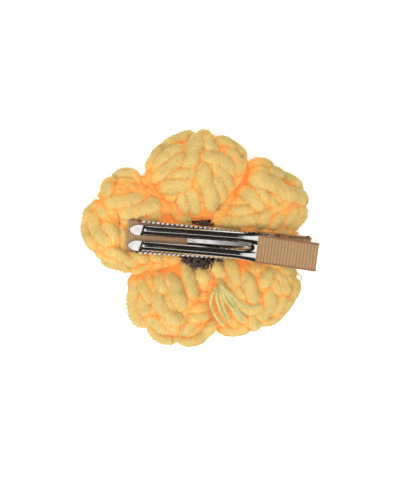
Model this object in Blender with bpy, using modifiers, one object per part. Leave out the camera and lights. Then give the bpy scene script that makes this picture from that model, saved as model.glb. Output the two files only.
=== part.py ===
"""Flower hair clip: a crocheted five-petal flower on a sprung, ribbon-lined double-prong alligator clip.

The clip lies on the back of the flower, and the flower lies face down. +Z points away from the flower,
+X runs along the clip towards its lever, and the origin is the middle of the flower's front on the surface
it lies on. Every length is in metres. The clip is drawn about its own long middle line and then set down
on the flower, a little off the flower's middle.
"""

import math

import bmesh
import bpy
from mathutils import Matrix, Vector

MM = 0.001

# ---- driving dimensions -------------------------------------------------------------------------------
RIBBON_WIDTH = 9.5 * MM
RIBBON_THICKNESS = 0.4 * MM
SHEET = 0.5 * MM  # steel of both jaws
GLUE_GAP = 0.1 * MM  # between a ribbon and what it is glued to

CLIP_PLACE = Vector((-1.2 * MM, 2.75 * MM, 0.0))  # where the clip's own frame lies on the flower
FLOWER_BACK = 13.15 * MM  # height of the flower's back at its middle
GLUE_THICKNESS = 0.8 * MM
JAW_FLOOR = FLOWER_BACK + GLUE_THICKNESS + RIBBON_THICKNESS + 0.55 * MM  # underside of the toothed jaw
JAW_TIP = -24.6 * MM
JAW_TAIL = 37.0 * MM
JAW_TIP_WIDTH = 11.4 * MM
JAW_WIDTH = 9.8 * MM  # from the hinge to the tail
JAW_TAPER_END = 18.0 * MM
WALL_HEIGHT = 2.2 * MM  # from the underside of the floor to the tooth tips
TAIL_WALL_HEIGHT = 1.1 * MM
TOOTH_PITCH = 1.6 * MM
TOOTH_DEPTH = 0.7 * MM
TOOTH_TOP = 0.45  # flat share of the pitch
TEETH_START = -21.9 * MM
COINED = 0.05 * MM  # the floor is pressed a little thinner past the walls

PIVOT = Vector((21.5 * MM, 0.0, JAW_FLOOR + 3.1 * MM))
PIN_RADIUS = 0.75 * MM
PIN_CLEARANCE = 0.1 * MM
PIN_HEAD_RADIUS = 1.25 * MM
PIN_HEAD = 0.35 * MM
JAW_EAR_RADIUS = 1.7 * MM
PRONG_EAR_RADIUS = 1.6 * MM
PRONG_EAR_OUTER = 4.05 * MM

PRONG_TIP = -24.6 * MM
PRONG_SLOPE = math.radians(2.0)
PRONG_REST = JAW_FLOOR + SHEET + RIBBON_THICKNESS + 0.25 * MM  # underside of the prong tips
LEVER_SLOPE = math.radians(18.0)
LEVER_OFFSET = 2.0 * MM  # from the pivot to the lever's underside, square to it
LEVER_END = 37.4 * MM
LEVER_HALF_WIDTH = 4.5 * MM
BEND_RADIUS = 30.0 * MM
CHANNEL_HEIGHT = 1.1 * MM
CHANNEL_HALF_WIDTH = 1.65 * MM
CHANNEL_START = -20.2 * MM
CHANNEL_FADE = (8.5 * MM, 18.4 * MM)
SLOT_END = 17.9 * MM
SLOT_HALF_WIDTH = (0.9 * MM, 1.35 * MM)  # at the tips, at the round end
PRONG_OUTER = (4.45 * MM, 4.7 * MM)
PRONG_SWAY = 0.45 * MM  # the tips stand that far to the side

LEVER_RIBBON_START = 18.7 * MM
LEVER_RIBBON_INNER_END = 27.5 * MM
JAW_RIBBON_INNER_END = -4.8 * MM
TAIL_RIBBON_INNER_END = 30.0 * MM
TAIL_RIBBON_WIDTH = 8.4 * MM  # its edges curl in between the low walls

SPRING_WIDTH = 5.0 * MM
SPRING_THICKNESS = 0.35 * MM
SPRING_LOOP = 1.25 * MM  # radius of the strip's middle around the pin

PETAL_MIDDLE = 8.05 * MM  # height of a petal's middle
PETAL_HALF_HEIGHT = 8.0 * MM
PETAL_ROOT = 8.3 * MM
PETAL_LOBE = 14.0 * MM
PETAL_LOBE_HALF_WIDTH = 17.2 * MM
PETAL_GAP = 0.3 * MM
# name: direction, valley to its left, valley to its right (degrees about +Z), reach from the middle
PETALS = {
    "petal_top": (98.4, 133.1, 65.2, 39.5 * MM),
    "petal_upper_right": (34.4, 65.2, -0.6, 40.0 * MM),
    "petal_lower_right": (-39.6, -0.6, -75.5, 39.2 * MM),
    "petal_lower_left": (-114.6, -75.5, -151.2, 37.0 * MM),
    "petal_left": (170.9, 208.8, 133.1, 41.5 * MM),
}
BUTTON_RADIUS = 10.0 * MM
BUTTON_HEIGHT = 6.2 * MM
BUTTON_CLEARANCE = 0.35 * MM
STEM_RADIUS = 7.6 * MM

ROUND_STEPS = 24


# ---- scene and materials ------------------------------------------------------------------------------
def clear_scene():
    for obj in list(bpy.data.objects):
        bpy.data.objects.remove(obj)


def new_collection(name):
    made = bpy.data.collections.new(name)
    bpy.context.scene.collection.children.link(made)
    return made


def material(name, colour, roughness, metallic=0.0):
    made = bpy.data.materials.new(name)
    made.use_nodes = True
    shader = made.node_tree.nodes["Principled BSDF"]
    shader.inputs["Base Color"].default_value = (*colour, 1.0)
    shader.inputs["Roughness"].default_value = roughness
    shader.inputs["Metallic"].default_value = metallic
    return made


def link_mesh(name, mesh, home, finish=None):
    obj = bpy.data.objects.new(name, mesh)
    home.objects.link(obj)
    if finish:
        mesh.materials.append(finish)
    return obj


def as_cutter(obj):
    obj.hide_render = True
    obj.display_type = "WIRE"
    return obj


def boolean(obj, other, operation):
    modifier = obj.modifiers.new(operation.lower(), "BOOLEAN")
    modifier.operation = operation
    modifier.object = other
    modifier.solver = "EXACT"
    return modifier


def smooth(obj, angle=40.0):
    obj.data.shade_smooth()
    obj.data.set_sharp_from_angle(angle=math.radians(angle))


# ---- shape helpers ------------------------------------------------------------------------------------
def outline_solid(name, points, depth, home, upright=False):
    """A flat outline made solid. It is drawn in XY, or in XZ if upright, and is centred on its own plane."""
    curve = bpy.data.curves.new(name, "CURVE")
    curve.dimensions = "2D"
    curve.fill_mode = "BOTH"
    curve.extrude = depth / 2
    spline = curve.splines.new("POLY")
    spline.points.add(len(points) - 1)
    for point, (a, b) in zip(spline.points, points):
        point.co = (a, b, 0.0, 1.0)
    spline.use_cyclic_u = True
    drawn = bpy.data.objects.new(name, curve)
    home.objects.link(drawn)
    if upright:
        drawn.rotation_euler.x = math.pi / 2
    bpy.context.view_layer.update()
    evaluated = drawn.evaluated_get(bpy.context.evaluated_depsgraph_get())
    mesh = bpy.data.meshes.new_from_object(evaluated)
    place = drawn.matrix_world.copy()
    bpy.data.objects.remove(drawn)
    shape = bmesh.new()
    shape.from_mesh(mesh)
    bmesh.ops.remove_doubles(shape, verts=shape.verts, dist=1e-6)
    bmesh.ops.recalc_face_normals(shape, faces=shape.faces)
    shape.to_mesh(mesh)
    shape.free()
    solid = link_mesh(name, mesh, home)
    solid.matrix_world = place
    return solid


def cylinder(name, radius, length, place, home):
    """A cylinder whose axis lies along Y."""
    mesh = bpy.data.meshes.new(name)
    shape = bmesh.new()
    bmesh.ops.create_cone(
        shape, cap_ends=True, segments=ROUND_STEPS, radius1=radius, radius2=radius, depth=length
    )
    bmesh.ops.rotate(shape, verts=shape.verts, matrix=Matrix.Rotation(math.pi / 2, 3, "X"))
    shape.to_mesh(mesh)
    shape.free()
    obj = link_mesh(name, mesh, home)
    obj.location = place
    return obj


def strip(name, path, width, thickness, home, finish, widths=None):
    """A bent flat strip: a path in XZ drawn out along Y and given its thickness about the path."""
    mesh = bpy.data.meshes.new(name)
    shape = bmesh.new()
    near = [shape.verts.new((x, -width / 2, z)) for x, z in path]
    edges = [shape.edges.new(pair) for pair in zip(near, near[1:])]
    drawn = bmesh.ops.extrude_edge_only(shape, edges=edges)["geom"]
    far = [v for v in drawn if isinstance(v, bmesh.types.BMVert)]
    bmesh.ops.translate(shape, verts=far, vec=(0.0, width, 0.0))
    if widths:
        for vert in shape.verts:
            vert.co.y *= widths(vert.co.x, vert.co.z) / width
    shape.to_mesh(mesh)
    shape.free()
    obj = link_mesh(name, mesh, home, finish)
    solid = obj.modifiers.new("thickness", "SOLIDIFY")
    solid.thickness = thickness
    solid.offset = 0.0
    return obj


def turned(name, profile, home, finish, axis="Z"):
    """A turned solid from its (radius, height) profile, listed from top to bottom."""
    mesh = bpy.data.meshes.new(name)
    points = [(r, 0.0, h) for r, h in profile]
    edges = [(i, i + 1) for i in range(len(points) - 1)]
    mesh.from_pydata(points, edges, [])
    obj = link_mesh(name, mesh, home, finish)
    screw = obj.modifiers.new("turn", "SCREW")
    screw.steps = screw.render_steps = ROUND_STEPS
    screw.use_merge_vertices = True
    screw.merge_threshold = 1e-5
    if axis == "Y":
        obj.rotation_euler.x = math.pi / 2
    return obj


def arc(centre, radius, start, end, steps):
    """Points on an arc, angles in degrees."""
    made = []
    for i in range(steps + 1):
        angle = math.radians(start + (end - start) * i / steps)
        made.append((centre[0] + radius * math.cos(angle), centre[1] + radius * math.sin(angle)))
    return made


# ---- the profile that the prongs and the lever follow -------------------------------------------------
def lever_start():
    """The point of the lever's underside that is nearest to the pivot."""
    return (
        PIVOT.x - LEVER_OFFSET * math.sin(LEVER_SLOPE),
        PIVOT.z + LEVER_OFFSET * math.cos(LEVER_SLOPE),
    )


def underside(x):
    """(height, slope) of the pronged jaw's underside: a gentle rise, a bend, then the steeper lever."""
    near_x, near_z = lever_start()
    rise, steep = math.tan(PRONG_SLOPE), math.tan(LEVER_SLOPE)
    corner = (PRONG_REST - rise * PRONG_TIP - near_z + steep * near_x) / (steep - rise)
    reach = BEND_RADIUS * math.tan((LEVER_SLOPE - PRONG_SLOPE) / 2)
    bend_start = corner - reach * math.cos(PRONG_SLOPE)
    bend_end = corner + reach * math.cos(LEVER_SLOPE)
    if x <= bend_start:
        return PRONG_REST + rise * (x - PRONG_TIP), PRONG_SLOPE
    if x >= bend_end:
        return near_z + steep * (x - near_x), LEVER_SLOPE
    centre_x = bend_start - BEND_RADIUS * math.sin(PRONG_SLOPE)
    centre_z = PRONG_REST + rise * (bend_start - PRONG_TIP) + BEND_RADIUS * math.cos(PRONG_SLOPE)
    slope = math.asin((x - centre_x) / BEND_RADIUS)
    return centre_z - BEND_RADIUS * math.cos(slope), slope


def off_underside(x, distance):
    """The point that far above the underside at x, square to it."""
    height, slope = underside(x)
    return x - distance * math.sin(slope), height + distance * math.cos(slope)


def ease(value, low, high):
    share = min(1.0, max(0.0, (value - low) / (high - low)))
    return share * share * (3 - 2 * share)


def along(pair, x):
    """A size that changes evenly from the tips to the slot's round end."""
    share = min(1.0, max(0.0, (x - PRONG_TIP) / (SLOT_END - PRONG_TIP)))
    return pair[0] + (pair[1] - pair[0]) * share


def sway(x):
    """How far to the side the pronged jaw's middle line lies."""
    share = max(0.0, (PIVOT.x - x) / (PIVOT.x - PRONG_TIP))
    return -PRONG_SWAY * share * share


def channel(x, y):
    """How far the half-round channel of a prong stands above the flat sheet, y from its middle line."""
    middle = (along(SLOT_HALF_WIDTH, x) + along(PRONG_OUTER, x)) / 2
    aside = abs(abs(y) - middle)
    if aside >= CHANNEL_HALF_WIDTH:
        return 0.0
    radius = (CHANNEL_HALF_WIDTH**2 + CHANNEL_HEIGHT**2) / (2 * CHANNEL_HEIGHT)
    bump = math.sqrt(radius**2 - aside**2) - (radius - CHANNEL_HEIGHT)
    start = ease(x, CHANNEL_START - 0.4 * MM, CHANNEL_START + 0.4 * MM)
    return bump * start * (1 - ease(x, *CHANNEL_FADE))


# ---- the toothed jaw ----------------------------------------------------------------------------------
def jaw_half_width(x):
    share = min(1.0, max(0.0, (x - JAW_TIP) / (JAW_TAPER_END - JAW_TIP)))
    return (JAW_TIP_WIDTH + (JAW_WIDTH - JAW_TIP_WIDTH) * share) / 2


def jaw_plan(inset, overrun):
    """The jaw's outline from above, with rounded tip corners, moved in by inset and run past both ends."""
    corner = 1.6 * MM
    tip, tail = JAW_TIP - overrun, JAW_TAIL + overrun
    half_tip, half = jaw_half_width(JAW_TIP) - inset, JAW_WIDTH / 2 - inset
    upper = [(tail, half), (JAW_TAPER_END, half)]
    upper += arc((tip + corner, half_tip - corner), corner, 90, 180, 5)
    return upper + [(x, -y) for x, y in reversed(upper)]


def jaw_side():
    """The jaw's outline from the side: floor, low tail walls, hinge ears and toothed walls."""
    end_top, wall_top = JAW_FLOOR + SHEET - COINED, JAW_FLOOR + WALL_HEIGHT
    tail_top = JAW_FLOOR + TAIL_WALL_HEIGHT
    points = [(JAW_TIP - MM, JAW_FLOOR - MM), (JAW_TAIL + MM, JAW_FLOOR - MM)]
    points += [(JAW_TAIL + MM, end_top), (JAW_TAIL - 1.0 * MM, end_top), (JAW_TAIL - 1.8 * MM, tail_top)]
    points += [(PIVOT.x + 4.0 * MM, tail_top)]
    points += arc((PIVOT.x, PIVOT.z), JAW_EAR_RADIUS, 10, 170, 12)
    points += [(PIVOT.x - 2.6 * MM, wall_top - TOOTH_DEPTH)]
    teeth = int((PIVOT.x - 2.6 * MM - TEETH_START) / TOOTH_PITCH)
    for i in range(teeth):
        tooth = PIVOT.x - 2.6 * MM - i * TOOTH_PITCH
        points.append((tooth - (1 - TOOTH_TOP) / 2 * TOOTH_PITCH, wall_top))
        points.append((tooth - (1 + TOOTH_TOP) / 2 * TOOTH_PITCH, wall_top))
        points.append((tooth - TOOTH_PITCH, wall_top - TOOTH_DEPTH))
    points += [(points[-1][0] - 1.2 * MM, end_top), (JAW_TIP - MM, end_top)]
    return points


def make_tooth_jaw(home, cutters, finish):
    height = 8.0 * MM
    jaw = outline_solid("tooth_jaw", jaw_plan(0.0, 0.0), height, home)
    jaw.location.z = JAW_FLOOR + height / 2
    jaw.data.materials.append(finish)
    hollow = as_cutter(outline_solid("jaw_hollow", jaw_plan(SHEET, 4.0 * MM), height, cutters))
    hollow.location.z = JAW_FLOOR + SHEET + height / 2
    side = as_cutter(outline_solid("jaw_side", jaw_side(), 16.0 * MM, cutters, upright=True))
    bore = as_cutter(cylinder("jaw_bore", PIN_RADIUS + PIN_CLEARANCE, 16.0 * MM, PIVOT, cutters))
    boolean(jaw, hollow, "DIFFERENCE")
    boolean(jaw, side, "INTERSECT")
    boolean(jaw, bore, "DIFFERENCE")
    return jaw


# ---- the pronged jaw ----------------------------------------------------------------------------------
def prong_plan():
    """The pronged jaw's outline from above: two bullet-shaped tips, the slot between them and the lever."""
    tip_inner, tip_outer = SLOT_HALF_WIDTH[0], PRONG_OUTER[0]
    middle, shoulder = (tip_inner + tip_outer) / 2, PRONG_TIP + 2.8 * MM
    nose = arc((PRONG_TIP + 0.6 * MM, middle), 0.6 * MM, 120, 240, 4)
    slot = SLOT_HALF_WIDTH[1]
    upper = [(LEVER_END, LEVER_HALF_WIDTH - 0.6 * MM), (LEVER_END - 0.6 * MM, LEVER_HALF_WIDTH)]
    upper += [(SLOT_END + 3.0 * MM, LEVER_HALF_WIDTH), (SLOT_END, PRONG_OUTER[1]), (shoulder, tip_outer)]
    upper += [(PRONG_TIP + 1.2 * MM, middle + 1.15 * MM), *nose, (PRONG_TIP + 1.2 * MM, middle - 1.15 * MM)]
    upper += [(shoulder, tip_inner), (-8.0 * MM, along(SLOT_HALF_WIDTH, -8.0 * MM))]
    upper += arc((SLOT_END - slot, 0.0), slot, 90, 0, 6)
    both = upper + [(x, -y) for x, y in reversed(upper[:-1])]
    return [(x, y + sway(x)) for x, y in both]


def grid_stations():
    """Where the sheet's cross lines lie: close together only where its shape changes."""
    start = [PRONG_TIP - 1.0 * MM] + [CHANNEL_START + step * MM for step in (-0.5, -0.2, 0.0, 0.2, 0.5)]
    low, high = CHANNEL_FADE[0] - 0.5 * MM, 21.5 * MM
    bend = [low + (high - low) * i / 12 for i in range(13)]
    return start + bend + [LEVER_END + 1.0 * MM]


def make_prong_jaw(home, cutters, finish):
    stations, columns, reach = grid_stations(), 27, 5.2 * MM
    mesh = bpy.data.meshes.new("prong_jaw")
    shape = bmesh.new()
    bmesh.ops.create_grid(shape, x_segments=len(stations) - 1, y_segments=columns - 1, size=1.0)
    for vert in shape.verts:
        x = stations[round((vert.co.x + 1) / 2 * (len(stations) - 1))]
        y = vert.co.y * reach
        vert.co = (x, y + sway(x), underside(x)[0] + channel(x, y))
    shape.to_mesh(mesh)
    shape.free()
    jaw = link_mesh("prong_jaw", mesh, home, finish)
    sheet = jaw.modifiers.new("thickness", "SOLIDIFY")
    sheet.thickness = SHEET
    sheet.offset = 1.0
    plan = as_cutter(outline_solid("prong_plan", prong_plan(), 40.0 * MM, cutters))
    plan.location.z = JAW_FLOOR
    boolean(jaw, plan, "INTERSECT")
    for side, sign in (("left", 1), ("right", -1)):
        ear = as_cutter(outline_solid(f"prong_ear_{side}", prong_ear(), SHEET, cutters, upright=True))
        ear.location.y = sign * (PRONG_EAR_OUTER - SHEET / 2)
        boolean(jaw, ear, "UNION")
    bore = as_cutter(cylinder("prong_bore", PIN_RADIUS + PIN_CLEARANCE, 16.0 * MM, PIVOT, cutters))
    boolean(jaw, bore, "DIFFERENCE")
    return jaw


def prong_ear():
    """A hinge ear of the pronged jaw from the side: round about the pivot, and rooted in the sheet."""
    rooted = 0.25 * MM
    ahead = off_underside(PIVOT.x + 2.4 * MM, rooted)
    behind = off_underside(PIVOT.x - 3.0 * MM, rooted)
    return [ahead, behind] + arc((PIVOT.x, PIVOT.z), PRONG_EAR_RADIUS, 190, 380, 12)


# ---- hinge pin and spring -----------------------------------------------------------------------------
def make_pin(home, finish):
    ear = JAW_WIDTH / 2 + GLUE_GAP
    profile = [(0.0, ear + PIN_HEAD), (PIN_HEAD_RADIUS * 0.8, ear + PIN_HEAD)]
    profile += [(PIN_HEAD_RADIUS, ear + PIN_HEAD * 0.6), (PIN_HEAD_RADIUS, ear), (PIN_RADIUS, ear)]
    profile += [(r, -h) for r, h in reversed(profile)]
    pin = turned("pivot_pin", profile, home, finish, axis="Y")
    pin.location = PIVOT
    return pin


def make_spring(home, finish):
    """A strip of spring steel bent round the pin, with one leg on each lever."""
    rest = JAW_FLOOR + SHEET + GLUE_GAP + SPRING_THICKNESS / 2
    lower_end = (28.6 * MM, rest)
    reach = math.dist(lower_end, (PIVOT.x, PIVOT.z))
    down = math.atan2(rest - PIVOT.z, lower_end[0] - PIVOT.x) - math.acos(SPRING_LOOP / reach)
    upper_end = off_underside(26.3 * MM, -GLUE_GAP - SPRING_THICKNESS / 2)
    far = math.dist(upper_end, (PIVOT.x, PIVOT.z))
    up = math.atan2(upper_end[1] - PIVOT.z, upper_end[0] - PIVOT.x) + math.acos(SPRING_LOOP / far)
    loop = arc((PIVOT.x, PIVOT.z), SPRING_LOOP, math.degrees(up), 360 + math.degrees(down), 14)
    path = [upper_end] + loop + [lower_end]
    return strip("leaf_spring", path, SPRING_WIDTH, SPRING_THICKNESS, home, finish)


# ---- ribbons and glue ---------------------------------------------------------------------------------
def make_lever_ribbon(home, finish):
    """Over the lever, round its end and back along its underside."""
    clear = GLUE_GAP + RIBBON_THICKNESS / 2
    steps = 8
    over = [
        off_underside(LEVER_RIBBON_START + (LEVER_END - LEVER_RIBBON_START) * i / steps, SHEET + clear)
        for i in range(steps + 1)
    ]
    end_height, _ = underside(LEVER_END)
    middle = off_underside(LEVER_END, SHEET / 2)
    tilt = math.degrees(LEVER_SLOPE)
    wrap = arc(middle, SHEET / 2 + clear, 90 + tilt, -90 + tilt, 8)
    back = [off_underside(LEVER_RIBBON_INNER_END, -clear)]
    return strip("lever_ribbon", over + wrap + back, RIBBON_WIDTH, RIBBON_THICKNESS, home, finish)


def make_jaw_ribbon(home, finish):
    """From inside the jaw, round its tip, along the flower side, round the tail and inside again."""
    clear = GLUE_GAP + RIBBON_THICKNESS / 2
    above, below = JAW_FLOOR + SHEET + clear, JAW_FLOOR - clear
    middle = JAW_FLOOR + SHEET / 2
    path = [(JAW_RIBBON_INNER_END, above)]
    path += arc((JAW_TIP, middle), SHEET / 2 + clear, 90, 270, 8)
    path += [(JAW_TAIL - 3.0 * MM, below)]
    path += arc((JAW_TAIL, middle), SHEET / 2 + clear, -90, 90, 8)
    path += [(JAW_TAIL - 1.0 * MM, above), (TAIL_RIBBON_INNER_END, above)]

    def widths(x, z):
        curled = x > JAW_TAIL - 1.5 * MM or (x > 0 and z > middle)
        return TAIL_RIBBON_WIDTH if curled else RIBBON_WIDTH

    return strip("jaw_ribbon", path, RIBBON_WIDTH, RIBBON_THICKNESS, home, finish, widths)


def make_glue_pad(home, finish):
    half_length, half_width = 7.0 * MM, 4.2 * MM
    ends = arc((half_length - half_width, 0.0), half_width, -90, 90, 10)
    outline = ends + [(-x, -y) for x, y in ends]
    pad = outline_solid("glue_pad", outline, GLUE_THICKNESS, home)
    pad.location.z = FLOWER_BACK + 0.2 * MM + GLUE_THICKNESS / 2
    pad.data.materials.append(finish)
    return pad


def set_down(clip, moving, guides):
    """Puts the clip on the flower: all of it hangs on one empty, and what moves hangs on one at the hinge."""
    base = bpy.data.objects.new("clip_place", None)
    hinge = bpy.data.objects.new("clip_hinge", None)
    for empty in (base, hinge):
        guides.objects.link(empty)
    base.location = CLIP_PLACE
    hinge.parent = base
    hinge.location = PIVOT
    for obj in clip:
        obj.parent = base
    for obj in moving:
        obj.parent = hinge
        obj.location -= PIVOT


# ---- the crocheted flower -----------------------------------------------------------------------------
def make_flower_centre(home, finish):
    """The brown button on the front with its stem, which the petals are worked round, up to the back."""
    profile = [(0.0, FLOWER_BACK), (5.2 * MM, FLOWER_BACK), (6.8 * MM, 12.3 * MM)]
    profile += [(STEM_RADIUS, 10.4 * MM), (STEM_RADIUS, 8.0 * MM), (STEM_RADIUS, BUTTON_HEIGHT)]
    profile += [(9.4 * MM, 5.4 * MM), (BUTTON_RADIUS, 3.8 * MM), (9.4 * MM, 1.8 * MM)]
    profile += [(8.0 * MM, 0.6 * MM), (6.0 * MM, 0.0), (0.0, 0.0)]
    return turned("flower_centre", profile, home, finish)


def petal_half_width(out, side_angle, reach):
    """Along the valley to the next petal first, then a round end."""
    beside_valley = out * math.tan(side_angle) - PETAL_GAP / math.cos(side_angle)
    past_shoulder = max(0.0, out - (reach - PETAL_LOBE)) / PETAL_LOBE
    lobe = PETAL_LOBE_HALF_WIDTH * math.sqrt(max(0.0, 1 - past_shoulder**2))
    return min(beside_valley, lobe)


def petal_half_height(out, reach):
    share = (out - PETAL_ROOT) / (reach - PETAL_ROOT)
    return PETAL_HALF_HEIGHT * max(0.0, 4 * share * (1 - share)) ** 0.38


def make_petal(name, home, cutters, finish):
    """A puffed petal: a sphere drawn out between its two valleys, pressed flat under the clip."""
    direction, left, right, reach = PETALS[name]
    mesh = bpy.data.meshes.new(name)
    shape = bmesh.new()
    bmesh.ops.create_uvsphere(shape, u_segments=20, v_segments=12, radius=1.0)
    for vert in shape.verts:
        a, b, c = vert.co
        out = PETAL_ROOT + (reach - PETAL_ROOT) * (c + 1) / 2
        turn = math.atan2(b, a)
        side_angle = math.radians(abs(left - direction) if a >= 0 else abs(direction - right))
        round_end = math.sqrt(max(0.0, 1 - min(1.0, c) ** 2)) ** 0.4
        wide = petal_half_width(out, side_angle, reach) * min(1.0, 1.6 * round_end)
        high = petal_half_height(out, reach)
        across = math.copysign(abs(math.cos(turn)) ** 0.8, math.cos(turn))
        upward = math.copysign(abs(math.sin(turn)) ** 0.8, math.sin(turn))
        vert.co = (out, wide * across, PETAL_MIDDLE + high * upward)
    bmesh.ops.remove_doubles(shape, verts=shape.verts, dist=1e-6)
    bmesh.ops.recalc_face_normals(shape, faces=shape.faces)
    shape.to_mesh(mesh)
    shape.free()
    petal = link_mesh(name, mesh, home, finish)
    petal.rotation_euler.z = math.radians(direction)
    for cutter in cutters:
        boolean(petal, cutter, "DIFFERENCE")
    smooth(petal)
    return petal


def make_petal_cutters(cutters):
    """The room that the petals leave for the clip on the back and for the button on the front."""
    length, width, height = JAW_TAIL - JAW_TIP + 8.0 * MM, 12.2 * MM, 12.0 * MM
    bed = bpy.data.meshes.new("clip_bed")
    shape = bmesh.new()
    bmesh.ops.create_cube(shape, size=1.0)
    bmesh.ops.scale(shape, verts=shape.verts, vec=(length, width, height))
    bmesh.ops.bevel(shape, geom=shape.edges, offset=0.8 * MM, segments=2, affect="EDGES")
    shape.to_mesh(bed)
    shape.free()
    channel_cutter = as_cutter(link_mesh("clip_bed", bed, cutters))
    channel_cutter.location = ((JAW_TIP + JAW_TAIL) / 2, 0.0, FLOWER_BACK + 0.85 * MM + height / 2)
    channel_cutter.location += CLIP_PLACE
    seat = bpy.data.meshes.new("button_seat")
    shape = bmesh.new()
    bmesh.ops.create_cone(
        shape,
        cap_ends=True,
        segments=ROUND_STEPS * 2,
        radius1=BUTTON_RADIUS + BUTTON_CLEARANCE,
        radius2=BUTTON_RADIUS + BUTTON_CLEARANCE,
        depth=BUTTON_HEIGHT * 2,
    )
    shape.to_mesh(seat)
    shape.free()
    button_cutter = as_cutter(link_mesh("button_seat", seat, cutters))
    button_cutter.location.z = BUTTON_CLEARANCE
    return channel_cutter, button_cutter


def main():
    clear_scene()
    home = new_collection("flower_hair_clip")
    cutters = new_collection("cutters")
    steel = material("polished_steel", (0.78, 0.77, 0.76), 0.12, 1.0)
    spring_steel = material("spring_steel", (0.45, 0.45, 0.46), 0.3, 1.0)
    ribbon = material("tan_grosgrain", (0.55, 0.35, 0.19), 0.85)
    glue = material("clear_hot_glue", (0.85, 0.83, 0.76), 0.3)
    yellow = material("yellow_yarn", (0.93, 0.68, 0.22), 0.95)
    brown = material("brown_yarn", (0.11, 0.055, 0.035), 0.95)

    make_tooth_jaw(home, cutters, steel)
    lever = make_prong_jaw(home, cutters, steel)
    make_pin(home, spring_steel)
    make_spring(home, spring_steel)
    make_jaw_ribbon(home, ribbon)
    wrap = make_lever_ribbon(home, ribbon)
    make_glue_pad(home, glue)
    set_down(list(home.objects) + list(cutters.objects), [lever, wrap], cutters)
    make_flower_centre(home, brown)
    petal_cutters = make_petal_cutters(cutters)
    for name in PETALS:
        make_petal(name, home, petal_cutters, yellow)


main()
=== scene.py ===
"""Looks of the flower hair clip: crocheted plied yarn, grosgrain ribbon and bright sprung steel.

The flower lies face down and the clip lies on its back. The pieces are drawn in millimetres and made into
metres as each mesh is built. The camera, the lights, the floor and values marked MM are in metres.
"""

import math
import random

import bmesh
import bpy
import numpy as np
from mathutils import Matrix, Vector
from mathutils.bvhtree import BVHTree


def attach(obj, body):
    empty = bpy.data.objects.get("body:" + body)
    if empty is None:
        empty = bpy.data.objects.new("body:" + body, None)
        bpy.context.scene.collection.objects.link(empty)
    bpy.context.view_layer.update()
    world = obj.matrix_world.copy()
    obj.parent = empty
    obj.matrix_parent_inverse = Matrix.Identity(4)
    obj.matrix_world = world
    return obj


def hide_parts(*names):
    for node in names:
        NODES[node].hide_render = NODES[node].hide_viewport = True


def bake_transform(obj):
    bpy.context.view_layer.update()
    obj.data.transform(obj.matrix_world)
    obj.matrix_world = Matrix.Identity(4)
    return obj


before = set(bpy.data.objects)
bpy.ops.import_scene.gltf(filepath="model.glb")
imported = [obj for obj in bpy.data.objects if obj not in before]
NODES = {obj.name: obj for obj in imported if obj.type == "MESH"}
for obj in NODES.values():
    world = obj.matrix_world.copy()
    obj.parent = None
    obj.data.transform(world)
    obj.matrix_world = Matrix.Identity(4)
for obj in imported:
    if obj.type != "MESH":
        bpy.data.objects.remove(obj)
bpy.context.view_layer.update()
FLOWER, LEVER = "flower_and_jaw", "prong_lever"
MM = 0.001

# ---- camera -------------------------------------------------------------------------------------------
CAMERA_DISTANCE = 0.400
CAMERA_LENS = 86.9  # mm, on a 36 mm long side
VIEW_TILT = math.radians(15.0)  # from straight above
VIEW_TURN = math.radians(27.0)  # the tilt's direction, from the picture's up towards its left
VIEW_ROLL = math.radians(4.75)  # the clip's long axis falls that far to the right
VIEW_SHIFT = (-0.5 * MM, 1.4 * MM)  # of the picture's middle from the flower's middle


def sight_axes():
    """The picture's right and up, and the direction from the flower to the camera."""
    right = Vector((math.cos(VIEW_ROLL), math.sin(VIEW_ROLL), 0.0))
    ahead = Vector((-math.sin(VIEW_ROLL), math.cos(VIEW_ROLL), 0.0))
    lean = math.cos(VIEW_TURN) * ahead - math.sin(VIEW_TURN) * right
    away = math.sin(VIEW_TILT) * lean + math.cos(VIEW_TILT) * Vector((0.0, 0.0, 1.0))
    right = (right - right.dot(away) * away).normalized()
    return right, away.cross(right), away


RIGHT, UP, AWAY = sight_axes()
LOOKED_AT = Vector((0.0, 0.0, 8.0 * MM)) + VIEW_SHIFT[0] * RIGHT + VIEW_SHIFT[1] * UP
EYE = LOOKED_AT + CAMERA_DISTANCE * AWAY


def make_camera():
    camera = bpy.data.objects.new("camera", bpy.data.cameras.new("camera"))
    bpy.context.scene.collection.objects.link(camera)
    turn = Matrix((RIGHT, UP, AWAY)).transposed().to_4x4()
    turn.translation = EYE
    camera.matrix_world = turn
    camera.data.lens = CAMERA_LENS
    camera.data.clip_start = 0.01
    bpy.context.scene.camera = camera


make_camera()


# ---- materials ----------------------------------------------------------------------------------------
def new_material(name):
    made = bpy.data.materials.new(name)
    made.use_nodes = True
    return made, made.node_tree, made.node_tree.nodes["Principled BSDF"]


def node(tree, kind, inputs=(), **settings):
    """Adds a shader node: settings are its own, inputs are (socket, value or output socket) pairs."""
    made = tree.nodes.new(kind)
    for key, value in settings.items():
        setattr(made, key, value)
    for socket, value in dict(inputs).items():
        if isinstance(value, bpy.types.NodeSocket):
            tree.links.new(value, made.inputs[socket])
        else:
            made.inputs[socket].default_value = value
    return made


def math_node(tree, operation, a, b=0.0):
    return node(tree, "ShaderNodeMath", {0: a, 1: b}, operation=operation).outputs[0]


def ramp(tree, value, stops):
    """A colour ramp with its (position, colour) stops."""
    made = node(tree, "ShaderNodeValToRGB", {"Fac": value})
    elements = made.color_ramp.elements
    while len(elements) < len(stops):
        elements.new(0.5)
    for element, (position, colour) in zip(elements, stops):
        element.position = position
        element.color = (*colour, 1.0)
    return made.outputs["Color"]


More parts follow.
